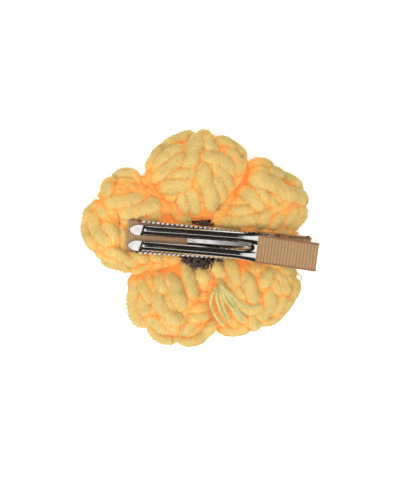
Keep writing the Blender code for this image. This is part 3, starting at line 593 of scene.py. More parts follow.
# The stitches on the back of each petal: radius, lift, and the route as (out, across) in mm, out from the
# flower's middle along the petal and across to its left.
BACK_STITCHES = {
    "petal_top": [
        (2.1, 0.0, [(27, 16.5), (31.8, 15.5), (34.6, 12.9), (37.1, 9.5), (38.3, 5.4), (39.1, 2)]),
        (2.0, 0.1, [(34.9, 6), (33.9, 9.6), (32.1, 12.1), (29.8, 14.1), (27, 15.6)]),
        (1.9, 0.2, [(31.7, 5.2), (30.5, 8.1), (28.4, 10.6), (26.6, 13.5), (25.1, 16)]),
        (2.4, 0.8, [(37.7, -1.6), (35.9, 0.9), (33.3, 2.4), (30.2, 3.5), (28.4, 5.3)]),
        (1.9, 0.1, [(24.7, 9), (25.9, 4.9), (27.2, 1.2)]),
        (2.5, 0.3, [(18.8, 15.5), (21.2, 12), (22.2, 7.9), (23, 3.5)]),
        (1.9, 0.1, [(18.1, 15.8), (18.1, 12.2), (18.9, 8.5)]),
        (2.0, -0.1, [(26, 16.5), (22.5, 16.5), (19.5, 16)]),
        (1.9, 0.1, [(18, 10), (15, 10), (11.7, 9.8)]),
        (1.9, 0.2, [(18.3, 6.9), (14.9, 6), (11.7, 6.1)]),
        (2.1, 0.3, [(20.6, 3.6), (16.6, 2.7), (11, 1.8)]),
        (1.4, -0.9, [(22.6, 0.4), (18.2, 0.1), (13.1, -0.4)]),
        (2.5, 0.7, [(28.5, -1), (24.1, -2), (19.3, -2.8), (15.6, -3.4), (12.2, -3.8)]),
        (1.9, 0.2, [(26, -3.8), (22.2, -5.8), (18.8, -7.1), (16.4, -7.3)]),
        (2.1, 0.4, [(31.5, -1.5), (30, -4.5), (28, -8), (25, -10)]),
        (1.9, 0.2, [(28.5, -3.5), (26.5, -6.5), (23.5, -9), (19, -10)]),
        (1.9, 0.2, [(37.5, -2), (34.5, -3.5), (32, -5.5)]),
        (1.9, 0.0, [(36.7, -5.6), (36.1, -8.5), (34, -11.3), (31.9, -14.1), (29.2, -14.7)]),
        (1.8, -0.2, [(32.9, -9.3), (30.4, -11.9), (27.4, -13), (24.5, -13.1)]),
        (1.3, 0.3, [(39.3, 1.5), (39, -2.5), (37, -4.5)]),
        (1.2, 0.2, [(9.8, 8), (9.6, 5), (9.8, 3.4)]),
        (1.2, 0.9, [(37.6, -3.6), (38.5, -4.2), (39.3, -4.4)]),
    ],
    "petal_upper_right": [
        (2.5, 0.9, [(25.9, 11.8), (29, 10.3), (31.6, 7.8), (33.5, 4.4), (35, 1.6), (37.4, -0.9), (39, -3.2)]),
        (2.1, 0.0, [(26.3, 17.3), (29.6, 16.8), (32.4, 14.7), (34.7, 11.7)]),
        (2.1, 0.0, [(32, 12.9), (35.6, 10.1), (38.2, 6.6), (39.5, 3.3), (39.3, 0.6)]),
        (1.7, -0.2, [(25.8, 14.7), (29.2, 13.9), (31.9, 11.6)]),
        (2.2, 0.3, [(20.5, 10.9), (22.8, 7.9), (24.4, 4.7), (25.5, 1.8)]),
        (1.9, 0.2, [(25.1, 9.1), (26.1, 5.7), (26.8, 2.5)]),
        (1.5, 0.2, [(27.8, 5.9), (28.2, 2.3), (28.2, -0.9)]),
        (1.8, 0.1, [(30.2, 4), (30.4, 0.7)]),
        (2.0, 0.1, [(36.5, -3.5), (35.7, -6.2), (33.4, -8), (30.4, -9.5), (28.5, -10.4)]),
        (1.9, 0.1, [(33.9, -3.2), (32.6, -5.8), (29.6, -7.3)]),
        (2.1, 0.3, [(23.4, -5.3), (26.4, -4.4), (29.6, -4.2)]),
        (2.0, 0.3, [(9.7, 6.7), (13.4, 5.8), (17.3, 4.7), (20.5, 2.9)]),
        (2.0, 0.3, [(9.2, 4.7), (12.7, 3.3), (16.2, 1.6), (19.8, 0), (21.4, -1.3)]),
        (2.0, 0.2, [(12.7, 1.3), (16, -0.9), (19.4, -3), (21.8, -5.2)]),
        (1.9, 0.1, [(12.1, 9.3), (15.7, 8.1), (19.8, 7.5)]),
        (1.8, 0.0, [(24, -6), (27, -10)]),
        (1.9, 0.0, [(20.4, -3.0), (23.0, -1.2), (25.4, -0.4)]),
        (1.9, -0.1, [(13.4, 12.6), (17.0, 11.8), (20.2, 12.4)]),
    ],
    "petal_lower_right": [
        (2.3, 0.5, [(6.8, -1), (10.2, -2.4), (12.4, -3.5)]),
        (2.0, 0.3, [(9.7, 2.8), (12.7, 2.1), (15.8, 0.5), (18.4, 0.1)]),
        (2.2, 0.9, [(16.5, 3.3), (19.5, 2.6), (22.6, 1.3), (25, -0.3), (26.2, -1.7)]),
        (1.8, 0.0, [(18.4, -3), (21.4, -2.7), (24.3, -2.4)]),
        (1.9, 0.3, [(16.3, -5.4), (20.7, -5.5), (25.1, -4.8), (28.3, -3), (30, 0.2)]),
        (2.1, 0.0, [(25.7, -16), (28.8, -14.1), (31.1, -11.5), (31.6, -8.9)]),
        (2.0, 0.1, [(31.2, -5.1), (34.4, -7.7)]),
        (2.1, 0.0, [
            (35.1, -4.9), (36.5, -2.1), (36.8, 1.4), (36.4, 4.9), (35.2, 8.4), (33.9, 11.7), (32.3, 13.8),
        ]),
        (2.1, 0.4, [(28.1, 5.8), (30.6, 2.9), (32.2, 0.2), (32.6, -2.6), (32.1, -4.9)]),
        (1.8, 0.0, [(32.1, 7.5), (34.1, 5.3), (35.1, 2.3), (35.2, -0.5)]),
        (2.1, 0.6, [(24.2, 5), (24, 7.6), (23.6, 10.4)]),
        (1.8, 0.1, [(17.9, 8.2), (20.3, 7.7)]),
        (1.8, 0.2, [(25.2, 12), (28.4, 11.1), (31.5, 9.8), (33, 8.1)]),
        (1.8, 0.1, [(27, 14.1), (30.1, 13.5), (32.9, 11.9)]),
        (1.9, 0.0, [(24.7, 12.8), (29, 15.6)]),
        (1.9, 0.1, [(26.4, 8.8), (28.6, 8.2), (30.8, 6.4)]),
        (1.9, -0.5, [(17.0, -8.4), (21.0, -10.4), (25.4, -12.0)]),
        (1.9, -0.3, [(14.6, -10.4), (18.0, -13.0), (22.4, -15.4)]),
        (1.8, -0.2, [(11.8, -7.0), (14.4, -8.6), (17.4, -11.8)]),
        (1.9, -0.2, [(20.6, 11.6), (22.6, 13.0), (25.2, 15.2)]),
    ],
    "petal_lower_left": [
        (2.4, 0.8, [(13.9, -6), (16.2, -2.6), (19, 0.4), (21.8, 2.8), (24.1, 4)]),
        (2.1, 0.3, [(8.9, -1.5), (11.5, 1.2), (14.7, 4), (17.5, 6.5)]),
        (2.0, 0.2, [(7.7, 3.3), (9.9, 6.3), (12.7, 8.7), (16, 9.6)]),
        (1.9, 0.1, [(12.1, -9.7), (9.6, -8.3), (8.3, -5.3)]),
        (2.0, 0.0, [(14.1, -13.9), (15.9, -10.6)]),
        (2.1, 0.0, [(21.1, -14.4), (24.8, -13.4), (28.5, -12.1), (31.4, -9.5), (33.1, -6.2), (34, -2.8)]),
        (2.0, 0.2, [(21.2, -12.9), (23.3, -9.7), (25.4, -6.5)]),
        (2.0, 0.2, [(16.6, -8.2), (18.8, -5.7), (20.3, -3.1)]),
        (2.3, 0.6, [(22.4, -5.9), (23.8, -2.5), (25.6, 0.6), (26.9, 3.7), (27.1, 6.6)]),
        (1.9, 0.1, [(21.4, -2.5), (23, 0.5), (25.1, 3.8)]),
        (1.9, 0.2, [(21.2, 8.7), (19.3, 10.7), (18, 13.1)]),
        (1.9, 0.2, [(24.1, 9.5), (21.6, 11.8), (19, 14)]),
        (2.1, 0.1, [(21.5, 16.9), (24.8, 16.6), (28.5, 15.5), (31.2, 13.7), (33.2, 11.1)]),
        (2.0, 0.1, [(21.3, 15.6), (24.6, 14.4), (27.7, 13.1), (30.2, 11.1)]),
        (2.0, 0.0, [(34.9, -1.1), (35.1, 2.2), (35, 5.6), (34.3, 8.9)]),
        (2.0, 0.1, [(31.1, -4.2), (30.6, -1), (31.2, 2.2), (31.8, 5.4)]),
        (1.9, 0.1, [(28.2, 0.1), (28.9, 3.7), (29.1, 7.2)]),
        (1.9, 0.0, [(26.2, -10.6), (28.6, -7.1), (30.1, -4.2)]),
        (1.8, -0.1, [(29.4, 8.6), (27.2, 10.4), (25.0, 11.2)]),
        (1.9, -0.2, [(11.4, 10.8), (14.0, 12.6), (17.4, 15.0)]),
        (1.9, -0.2, [(17.4, -14.6), (19.6, -11.4), (20.6, -8.6)]),
    ],
    "petal_left": [
        (1.8, 0.1, [(35.1, -16.4), (33.1, -18.1), (30.2, -18.2), (28, -17.4)]),
        (1.9, 0.0, [(33.7, -15.7), (30.1, -16.1), (26.3, -16.8), (24, -17.4)]),
        (1.7, 0.1, [(37.6, -11.5), (37.2, -13.6), (35.4, -15.3)]),
        (1.8, 0.0, [(35.5, -13.8), (35.9, -11.4), (36.2, -9)]),
        (1.3, 0.2, [(38.8, -10.4), (39.7, -9.9), (40.2, -8.8)]),
        (1.3, 0.2, [(40.2, -6.8), (40.9, -5.8), (41, -4.6)]),
        (2.1, 0.4, [(35.7, -6.8), (33, -8), (29.8, -8.1), (26.9, -9.5), (24.4, -11.2)]),
        (2.5, 0.5, [(32.8, -3.2), (29.7, -4.8), (26.2, -6.7), (22.9, -8.3), (19.4, -10.1)]),
        (1.9, 0.0, [(28.7, -3), (25.2, -4.4), (21.5, -6), (18, -7.7)]),
        (2.0, 0.2, [(37.2, -4.9), (36, -3), (33.8, -1.7)]),
        (2.1, 0.0, [(40, -5.5), (41, -2.2), (41, 1.4), (39.9, 4.9), (37.7, 7.6), (35, 9.5)]),
        (2.1, 0.2, [(39, -2.5), (38.5, 0.7), (36.8, 3.4), (34.2, 5), (31.6, 5.4)]),
        (2.1, 0.2, [(35.6, -0.5), (32.9, 1.1), (30.8, 3.6), (29.5, 6.6)]),
        (1.9, 0.1, [(28.6, -0.2), (27.8, 2.9), (26.4, 6.1)]),
        (2.1, 0.0, [(32.6, 11.2), (29.8, 12.5), (26.6, 13.3), (22.9, 13.9)]),
        (2.1, 0.1, [(32.5, 7.9), (29.2, 9.6), (26, 10.8), (22.3, 11.4)]),
        (1.9, 0.0, [(24.6, 7.4), (21.4, 8.0), (18.6, 8.8)]),
        (1.9, -0.1, [(21.4, 13.4), (18.6, 12.2), (15.6, 10.4)]),
        (1.9, -0.2, [(16.4, 8.2), (13.4, 7.6), (10.8, 7.0)]),
        (1.9, -0.6, [(23.6, -13.6), (20.4, -13.4), (17.0, -12.0)]),
        (1.7, -1.2, [(33.4, -12.2), (29.6, -13.0), (25.4, -13.8)]),
        (1.9, -0.1, [(18.4, -10.6), (15.2, -9.6), (12.0, -8.2)]),
    ],
}
# Loose plies of a cut yarn end that fan out over the lower right petal: routes as (out, across) in mm.
FRAYED_ENDS = [
    [(11.5, -3.5), (15.5, -5), (20, -5), (25, -5), (27.5, -3.5), (30, -0.5)],
    [(11.5, -4), (15, -5), (20, -6.5), (23.5, -7), (26, -7.5), (29.5, -9)],
    [(11.5, -4), (15, -5.5), (18.5, -7.5), (21, -8), (25.5, -8.5), (29, -9.5)],
    [(13.8, -5.2), (15.2, -6.5), (19.1, -9.1), (23.2, -10.9), (26.4, -12.1)],
    [(13.6, -5.6), (16.2, -9.1), (20, -11.1), (24.1, -12.5)],
    [(13.4, -6.0), (14.6, -9.4), (16.2, -11.9), (19.9, -13.7), (24, -14.5), (26.2, -14.5)],
    [(14.4, -4.4), (18.4, -5.4), (22.8, -6.9), (26.6, -7.6), (29.0, -7.4)],
]
FIBRE_LOOP = [(29.6, 16.1), (31.4, 16.8), (32.8, 16.6), (33.1, 15.4), (32.9, 14.0)]


# Where a petal's outline lies nearer its middle: direction and half width in degrees, and depth in mm.
TUCKS = {
    "petal_top": [(135, 50, 0.9)],
    "petal_upper_right": [(62, 40, 1.6), (-21, 22, 1.5)],
    "petal_lower_right": [(-45, 40, 0.4)],
    "petal_lower_left": [(181, 40, 1.2)],
    "petal_left": [(247, 32, 1.9), (180, 40, 0.6)],
}


def tucked(name, verts, middle):
    """The petal's points, drawn in towards its middle where its outline is tucked."""
    away = verts[:, :2] - np.array(middle)
    reach = np.linalg.norm(away, axis=1) + 1e-6
    around = np.degrees(np.arctan2(away[:, 1], away[:, 0]))
    pull = np.zeros(len(verts))
    for direction, half, depth in TUCKS[name]:
        off = np.abs((around - direction + 180.0) % 360.0 - 180.0) / half
        pull += depth * np.cos(0.5 * math.pi * np.clip(off, 0.0, 1.0)) ** 2
    verts = verts.copy()
    verts[:, :2] -= away * (pull * np.clip((reach - 6.0) / 10.0, 0.0, 1.0) / reach)[:, None]
    return verts


def petal_point(name, out, across):
    turn = math.radians(PETAL_TURN[name])
    x = out * math.cos(turn) - across * math.sin(turn)
    y = out * math.sin(turn) + across * math.cos(turn)
    return x, y


def lengthened(route):
    """The route run on past both ends, where its strand dives under its neighbours: less at root and rim."""
    route = [np.array(spot, float) for spot in route]
    ends = []
    for end, before in ((route[0], route[1]), (route[-1], route[-2])):
        by = np.interp(end[0], (8.0, 14.0, 20.0, 29.0, 35.0), (1.2, 1.8, 3.2, 3.0, 1.8))
        ends.append(end + (end - before) * by / np.linalg.norm(end - before))
    return [ends[0]] + route + [ends[1]]


def buried(surface, x, y, depth):
    """The spot on the sight line through (x, y) that lies that deep in the petal, or as deep as it gets."""
    start = Vector((x, y, ROUTE_HEIGHT))
    sight = (EYE / MM - start).normalized()
    near_root = math.hypot(x, y) < 13.0
    best = None
    for step in range(-14, 30):
        point = start - sight * (0.3 * step)
        near, normal, _, _ = surface.find_nearest(point)
        inside = (near - point).dot(normal)
        if best is None or inside > best[0]:
            best = (inside, point, normal)
        if inside >= depth or (near_root and point.z < 12.6):
            break
    if best[0] < 0.0 and near_root:
        return start + sight * 1.2, Vector((0.0, 0.0, 1.0))
    return best[1], best[2]


def back_strands(name, surface):
    made = []
    for radius, lift, route in BACK_STITCHES[name]:
        if radius > 1.5:
            route = lengthened(route)
        path = through([petal_point(name, *spot) for spot in route])
        radius = 1.2 * radius
        spots = [buried(surface, x, y, 0.6 * radius - lift) for x, y in path]
        made.append(Strand([p for p, _ in spots], [n for _, n in spots], radius, 1.15))
    return made


def bed_strands(name, surface, reach, draw):
    """A lower layer of posts along the petal, seen in the holes between the stitches of the back."""
    made = []
    for i in range(9):
        across = (i - 4) * 3.7
        bend = draw.uniform(-1.2, 1.2)
        inner = 10.5 + 0.5 * abs(across)
        outer = reach - 3.5 - 0.02 * across**2
        route = [(inner, 0.62 * across), ((inner + outer) / 2, 0.95 * across + bend), (outer, across)]
        path = through([petal_point(name, *spot) for spot in route])
        spots = [buried(surface, x, y, 2.1) for x, y in path]
        made.append(Strand([p for p, _ in spots], [n for _, n in spots], 2.1))
    return made


def seam_strand(name):
    """A strand low in the crease to the next petal on the left, which joins the two."""
    turn = math.radians(PETAL_TURN[name])
    direction = min(VALLEYS, key=lambda v: (math.radians(v) - turn) % (2 * math.pi))
    ray = Vector((math.cos(math.radians(direction)), math.sin(math.radians(direction)), 0.0))
    rises = ((6.6, 11.6), (11.0, 11.2), (17.0, 9.6), (23.0, 8.2))
    path = through([ray * out + Vector((0.0, 0.0, z)) for out, z in rises])
    return Strand(path, [Vector((0.0, 0.0, 1.0))] * len(path), 2.1)


def front_strands(name, surface, reach, draw):
    """Plump posts that fan out over the front."""
    made = []
    count = 8
    for i in range(count):
        fan = (i / (count - 1) - 0.5) * 2
        bend = draw.uniform(-1.0, 1.0)
        route = [(10.6, 4.6 * fan), (17.0, 7.6 * fan + bend)]
        route += [(24.5, 11.6 * fan - bend), (reach - 6.5, 13.6 * fan)]
        path = through([petal_point(name, *spot) for spot in route])
        spots = []
        for x, y in path:
            hit, normal, _, _ = surface.ray_cast(Vector((x, y, -30.0)), Vector((0, 0, 1)))
            if hit is None:
                hit, normal, _, _ = surface.find_nearest(Vector((x, y, 4.0)))
            spots.append((hit - normal * 1.5, normal))
        made.append(Strand([p for p, _ in spots], [n for _, n in spots], 2.25))
    return made


def side_strands(name, surface, reach, draw):
    """Slanted strands round the rim, from the front up towards the back."""
    made = []
    middle = petal_point(name, reach - 17.0, 0.0)
    count = 25
    for i in range(count):
        around = PETAL_TURN[name] + (i / (count - 1) - 0.5) * 296.0
        slant = draw.uniform(2.6, 4.6)
        top = 8.2 if abs(i - 12) < 7 else 11.8
        points = []
        for step in range(6):
            turn = math.radians(around + (step - 2.5) * slant)
            ray = Vector((math.cos(turn), math.sin(turn), 0.0))
            hit, normal, _, _ = surface.ray_cast(Vector((*middle, 1.8 + (top - 1.8) * step / 5)), ray)
            if hit is not None:
                points.append(hit - normal * 2.7)
        if len(points) < 4:
            continue
        path = [Vector(p) for p in through(points)]
        made.append(Strand(path, [surface.find_nearest(p)[1] for p in path], 2.05))
    return made


def fine_strands(name, surface):
    """The frayed end and the small fibre loop of the lower right petal."""
    made = []
    for k, route in enumerate(FRAYED_ENDS):
        path = through([petal_point(name, *spot) for spot in route])
        spots = []
        for i, (x, y) in enumerate(path):
            risen = min(1.0, i / 5)
            spots.append(buried(surface, x, y, 0.9 * (1 - risen) - (1.1 + 0.3 * (k % 3)) * risen))
        made.append(Strand([p for p, _ in spots], [n for _, n in spots], 0.64, 0.6, 0.9, 8))
    path = through([petal_point(name, *spot) for spot in FIBRE_LOOP], 0.4)
    points = [Vector((x, y, ROUTE_HEIGHT)) for x, y in path]
    made.append(Strand(points, [Vector((0, 0, 1))] * len(points), 0.24, 0.0, 1.0, 6))
    return made


def make_petal(name, seed):
    draw = random.Random(seed)
    surface = node_surface(name)
    reach = max(math.hypot(v.co.x, v.co.y) for v in NODES[name].data.vertices) / MM
    strands = back_strands(name, surface)
    strands += side_strands(name, surface, reach, draw)
    strands += front_strands(name, surface, reach, draw)
    push_apart(strands)
    strands += bed_strands(name, surface, reach, draw) + [seam_strand(name)]
    loose = fine_strands(name, surface) if name == "petal_lower_right" else []
    for strand in strands + loose:
        keep_under_clip(strand)
    core = shrunk_core(name, 2.9, 2.0, 0.2)
    middle = petal_point(name, reach - 17.0, 0.0)

    def shaped(verts):
        return tucked(name, verts, middle)

    piece = yarn_mesh(name + "_yarn", strands, loose, 4500, YELLOW, surface, core, seed, shaped)
    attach(piece, FLOWER)
    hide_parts(name)


# ---- the brown centre ---------------------------------------------------------------------------------
def small_loop(place, outward, aside, size, radius):
    """A small round stitch that rises from place, leans aside and dips back."""
    path = [
        place - outward * 0.4,
        place + outward * 0.6 + aside * size * 0.1,
        place + outward * 0.9 + aside * size * 0.5,
        place + outward * 0.5 + aside * size * 0.9,
        place - outward * 0.5 + aside * size,
    ]
    stations = through(path, 0.45)
    return Strand(stations, [outward] * len(stations), radius, 0.0, 0.95, 8)


def centre_strands(draw):
    """Small stitches all over the back, the stem and the front button."""
    made = []
    up = Vector((0, 0, 1))
    for radius, count in ((1.0, 8), (2.8, 22), (4.4, 34), (5.8, 48), (7.0, 60), (7.8, 66)):
        for i in range(count):
            turn = 2 * math.pi * (i + draw.uniform(-0.3, 0.3)) / count
            out = Vector((math.cos(turn), math.sin(turn), 0))
            height = 13.0 - max(0.0, radius - 5.0) * 0.6 + draw.uniform(-0.3, 0.3)
            lean = (out * draw.uniform(-0.2, 1.0) + up.cross(out) * draw.uniform(-1.0, 1.0)).normalized()
            size = draw.uniform(1.0, 2.0)
            thick = draw.uniform(0.22, 0.36)
            made.append(small_loop(out * radius + up * height, up, lean, size, thick))
    for ring in range(5):
        for i in range(40):
            turn = 2 * math.pi * (i + 0.5 * (ring % 2) + draw.uniform(-0.2, 0.2)) / 40
            out = Vector((math.cos(turn), math.sin(turn), 0))
            lean = (up * draw.uniform(-1.0, -0.3) + up.cross(out) * draw.uniform(-0.6, 0.6)).normalized()
            made.append(small_loop(out * 7.2 + up * (12.2 - 1.1 * ring), out, lean, 1.8, 0.38))
    for radius, count in ((1.2, 6), (3.0, 13), (4.8, 20), (6.6, 27), (8.2, 33), (9.3, 37)):
        for i in range(count):
            turn = 2 * math.pi * i / count
            out = Vector((math.cos(turn), math.sin(turn), 0))
            height = 0.9 + max(0.0, radius - 6.0) ** 2 * 0.16
            lean = (out + up.cross(out) * (0.6 if i % 2 else -0.6)).normalized()
            made.append(small_loop(out * (radius - 0.8) + up * height, -up, lean, 2.0, 0.62))
    return made


def make_centre():
    draw = random.Random(3)
    surface = node_surface("flower_centre")
    strands = centre_strands(draw)
    core = shrunk_core("flower_centre", 0.4, 0.3, 0.3)
    piece = yarn_mesh("flower_centre_yarn", strands, [], 1500, BROWN, surface, core, 5)
    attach(piece, FLOWER)
    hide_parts("flower_centre")


# ---- the pronged jaw ----------------------------------------------------------------------------------
PIVOT = (21.5, 18.0)  # x and z in the clip's own frame, mm
PRONG_TIP, LEVER_END = -24.6, 37.4
PRONG_SLOPE, LEVER_SLOPE = math.radians(2.0), math.radians(18.0)
PRONG_REST = 16.05
BEND_RADIUS = 30.0
SHEET = 0.5
CHANNEL_HEIGHT, CHANNEL_HALF_WIDTH = 1.1, 1.65
CHANNEL_START, CHANNEL_FADE = -20.2, (9.5, 25.0)
SLOT_END, SLOT_HALF_WIDTH = 17.9, (0.9, 1.35)
PRONG_OUTER, PRONG_SWAY = (4.45, 4.7), 0.45
LEVER_HALF_WIDTH = 4.5


def underside(x):
    """(height, slope) of the pronged jaw's underside: a gentle rise, a bend, then the steeper lever."""
    near_x = PIVOT[0] - 2.0 * math.sin(LEVER_SLOPE)
    near_z = PIVOT[1] + 2.0 * math.cos(LEVER_SLOPE)
    rise, steep = math.tan(PRONG_SLOPE), math.tan(LEVER_SLOPE)
    corner = (PRONG_REST - rise * PRONG_TIP - near_z + steep * near_x) / (steep - rise)
    reach = BEND_RADIUS * math.tan((LEVER_SLOPE - PRONG_SLOPE) / 2)
    start, stop = corner - reach * math.cos(PRONG_SLOPE), corner + reach * math.cos(LEVER_SLOPE)
    if x <= start:
        return PRONG_REST + rise * (x - PRONG_TIP), PRONG_SLOPE
    if x >= stop:
        return near_z + steep * (x - near_x), LEVER_SLOPE
    centre_x = start - BEND_RADIUS * math.sin(PRONG_SLOPE)
    centre_z = PRONG_REST + rise * (start - PRONG_TIP) + BEND_RADIUS * math.cos(PRONG_SLOPE)
    slope = math.asin((x - centre_x) / BEND_RADIUS)
    return centre_z - BEND_RADIUS * math.cos(slope), slope


def off_underside(x, distance):
    height, slope = underside(x)
    return x - distance * math.sin(slope), height + distance * math.cos(slope)


def ease(value, low, high):
    share = min(1.0, max(0.0, (value - low) / (high - low)))
    return share * share * (3 - 2 * share)


def along(pair, x):
    share = min(1.0, max(0.0, (x - PRONG_TIP) / (SLOT_END - PRONG_TIP)))
    return pair[0] + (pair[1] - pair[0]) * share


def sway(x):
    share = max(0.0, (PIVOT[0] - x) / (PIVOT[0] - PRONG_TIP))
    return -PRONG_SWAY * share * share


def channel(x, y):
    """How far the half-round channel of a prong stands above the flat sheet, y from its middle line."""
    middle = (along(SLOT_HALF_WIDTH, x) + along(PRONG_OUTER, x)) / 2
    aside = abs(abs(y) - middle) / CHANNEL_HALF_WIDTH
    start = ease(x, CHANNEL_START - 0.4, CHANNEL_START + 0.4)
    bump_share = max(0.0, 1 - aside**2) ** 0.75
    return CHANNEL_HEIGHT * bump_share * start * (1 - ease(x, *CHANNEL_FADE))


def prong_edges(x):
    """Inner and outer edge of one prong or half of the lever, from the middle line."""
    inner, outer = along(SLOT_HALF_WIDTH, x), along(PRONG_OUTER, x)
    middle = (inner + outer) / 2
    into_tip = (x - PRONG_TIP) / 2.9
    if into_tip < 1:
        half = (outer - middle) * math.sin(math.pi / 2 * max(0.0, into_tip)) ** 0.62
        return middle - half, middle + half
    slot = SLOT_HALF_WIDTH[1]
    if x > SLOT_END - slot:
        inner = math.sqrt(max(0.0, slot**2 - (x - SLOT_END + slot) ** 2))
        narrowed = ease(x, SLOT_END - slot, SLOT_END + 3.0)
        outer = PRONG_OUTER[1] - (PRONG_OUTER[1] - LEVER_HALF_WIDTH) * narrowed
    return inner, outer


def prong_stations():
    tip = [PRONG_TIP + 2.9 * (i / 14) ** 1.7 for i in range(15)]
    body = [PRONG_TIP + 2.9 + i * 0.5 for i in range(1, 76)]
    slot = SLOT_HALF_WIDTH[1]
    round_end = [SLOT_END - slot + slot * math.sin(math.pi / 2 * i / 12) for i in range(13)]
    lever = [SLOT_END + (LEVER_END - SLOT_END) * i / 40 for i in range(1, 41)]
    return tip + [x for x in body if x < SLOT_END - slot - 0.2] + round_end + lever


def clip_piece(name, shape, finish, body, cad_node):
    """A finished mesh in the clip's own millimetres, put on its body in place of its CAD node."""
    mesh = bpy.data.meshes.new(name)
    shape.to_mesh(mesh)
    shape.free()
    mesh.transform(Matrix.Scale(MM, 4) @ Matrix.Translation(CLIP_PLACE))
    mesh.materials.append(finish)
    obj = bpy.data.objects.new(name, mesh)
    bpy.context.scene.collection.objects.link(obj)
    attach(obj, body)
    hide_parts(cad_node)
    return obj


def add_plate(shape, outline, y_low, y_high):
    """A flat plate from its outline in XZ."""
    low = [shape.verts.new((x, y_low, z)) for x, z in outline]
    high = [shape.verts.new((x, y_high, z)) for x, z in outline]
    shape.faces.new(low)
    shape.faces.new(high[::-1])
    for i in range(len(outline)):
        j = (i + 1) % len(outline)
        shape.faces.new((low[i], low[j], high[j], high[i]))


def make_prong_jaw():
    """One stamped sheet: bullet tips, half-round channels that fade out in the bend, and hinge ears."""
    shape = bmesh.new()
    stations, columns = prong_stations(), 26
    for sign in (1, -1):
        rows = []
        for x in stations:
            inner, outer = prong_edges(x)
            row = []
            for c in range(columns + 1):
                y = inner + (outer - inner) * c / columns
                height, slope = underside(x)
                z = height + channel(x, y) + SHEET
                row.append(shape.verts.new((x - SHEET * math.sin(slope), sign * y + sway(x), z)))
            rows.append(row)
        for a, b in zip(rows, rows[1:]):
            for c in range(columns):
                corners = (a[c], a[c + 1], b[c + 1], b[c])
                shape.faces.new(corners if sign < 0 else corners[::-1])
    bmesh.ops.remove_doubles(shape, verts=shape.verts, dist=1e-4)
    bmesh.ops.recalc_face_normals(shape, faces=shape.faces)
    if sum(face.normal.z for face in shape.faces) < 0:
        bmesh.ops.reverse_faces(shape, faces=shape.faces)
    bmesh.ops.solidify(shape, geom=shape.faces[:], thickness=SHEET)
    for sign in (1, -1):
        ahead, behind = off_underside(PIVOT[0] + 2.4, 0.25), off_underside(PIVOT[0] - 3.0, 0.25)
        round_ear = [
            (PIVOT[0] + 1.6 * math.cos(a), PIVOT[1] + 1.6 * math.sin(a))
            for a in np.linspace(math.radians(190), math.radians(380), 16)
        ]
        add_plate(shape, [ahead, behind] + round_ear, sign * 3.55, sign * 4.05)
    piece = clip_piece("prong_jaw_steel", shape, STEEL, LEVER, "prong_jaw")
    piece.data.shade_smooth()
    piece.data.set_sharp_from_angle(angle=math.radians(50))


# ---- ribbons ------------------------------------------------------------------------------------------
RIBBON_HALF = 4.75
GLUE_GAP = 0.1


def arc(centre, radius, start, end, steps=14):
    """Points on an arc, angles in degrees."""
    turns = [math.radians(start + (end - start) * i / steps) for i in range(steps + 1)]
    return [(centre[0] + radius * math.cos(t), centre[1] + radius * math.sin(t)) for t in turns]


def make_ribbon(name, path, outward, pitch, half_width, swell, body, cad_node):
    """Grosgrain along a path in XZ: ribs across its outer face, plain inside, with corded selvedges."""
    run = [0.0]
    for a, b in zip(path, path[1:]):
        run.append(run[-1] + math.dist(a, b))
    count = int(run[-1] / pitch * 8)
    at = np.linspace(0.0, run[-1], count)
    line = np.stack([np.interp(at, run, [p[k] for p in path]) for k in (0, 1)], axis=1)
    tangent = settle(np.gradient(line, axis=0), 3)
    tangent /= np.linalg.norm(tangent, axis=1)[:, None]
    square = outward * np.stack([-tangent[:, 1], tangent[:, 0]], axis=1)
    columns = [-1.0, -0.985, -0.94, -0.90] + [0.87 * i / 8 for i in range(-8, 9)] + [0.90, 0.94, 0.985, 1.0]
    lift = [0.0, 0.16, 0.22, 0.14] + [0.0] * 17 + [0.14, 0.22, 0.16, 0.0]
    shape = bmesh.new()
    groove_shade = shape.verts.layers.float.new("groove_shade")
    edge = shape.verts.layers.float.new("edge")
    grid = shape.loops.layers.uv.new("ribbon")
    outer, inner = [], []
    for i in range(count):
        rib = abs(math.cos(math.pi * at[i] / pitch)) ** 0.8
        over, under = [], []
        for share, raised in zip(columns, lift):
            beaded = abs(share) > 0.88
            half = half_width(line[i][0], line[i][1]) + (0.09 * rib if abs(share) > 0.93 else 0.0)
            height = 0.2 + raised * (0.55 + 0.45 * rib) if beaded else 0.10 + 0.13 * rib
            if abs(share) == 1.0:
                height = 0.05
            rise = swell(line[i][0], line[i][1], share * half)
            height += rise
            x, z = line[i] + square[i] * height
            vert = shape.verts.new((x, share * half, z))
            # Painted shade, fullest down between the ribs.
            vert[groove_shade] = 1 - rib
            vert[edge] = 1.0 if beaded else 0.0
            over.append(vert)
            x, z = line[i] + square[i] * (rise - 0.2)
            vert = shape.verts.new((x, share * half, z))
            # The plain inner face takes a painted shade partway down the groove ramp.
            vert[groove_shade] = 0.6
            under.append(vert)
        outer.append(over)
        inner.append(under)
    wide = range(len(columns) - 1)
    faces = []
    for i in range(count - 1):
        for c in wide:
            faces.append((outer[i][c], outer[i][c + 1], outer[i + 1][c + 1], outer[i + 1][c]))
            faces.append((inner[i][c], inner[i + 1][c], inner[i + 1][c + 1], inner[i][c + 1]))
        for c in (0, -1):
            faces.append((outer[i][c], outer[i + 1][c], inner[i + 1][c], inner[i][c]))
    for i in (0, -1):
        for c in wide:
            faces.append((outer[i][c], outer[i][c + 1], inner[i][c + 1], inner[i][c]))
    for corners in faces:
        face = shape.faces.new(corners)
        face.smooth = True
        for loop in face.loops:
            loop[grid].uv = (loop.vert.co.x, loop.vert.co.y)
    bmesh.ops.recalc_face_normals(shape, faces=shape.faces)
    clip_piece(name, shape, RIBBON, body, cad_node)


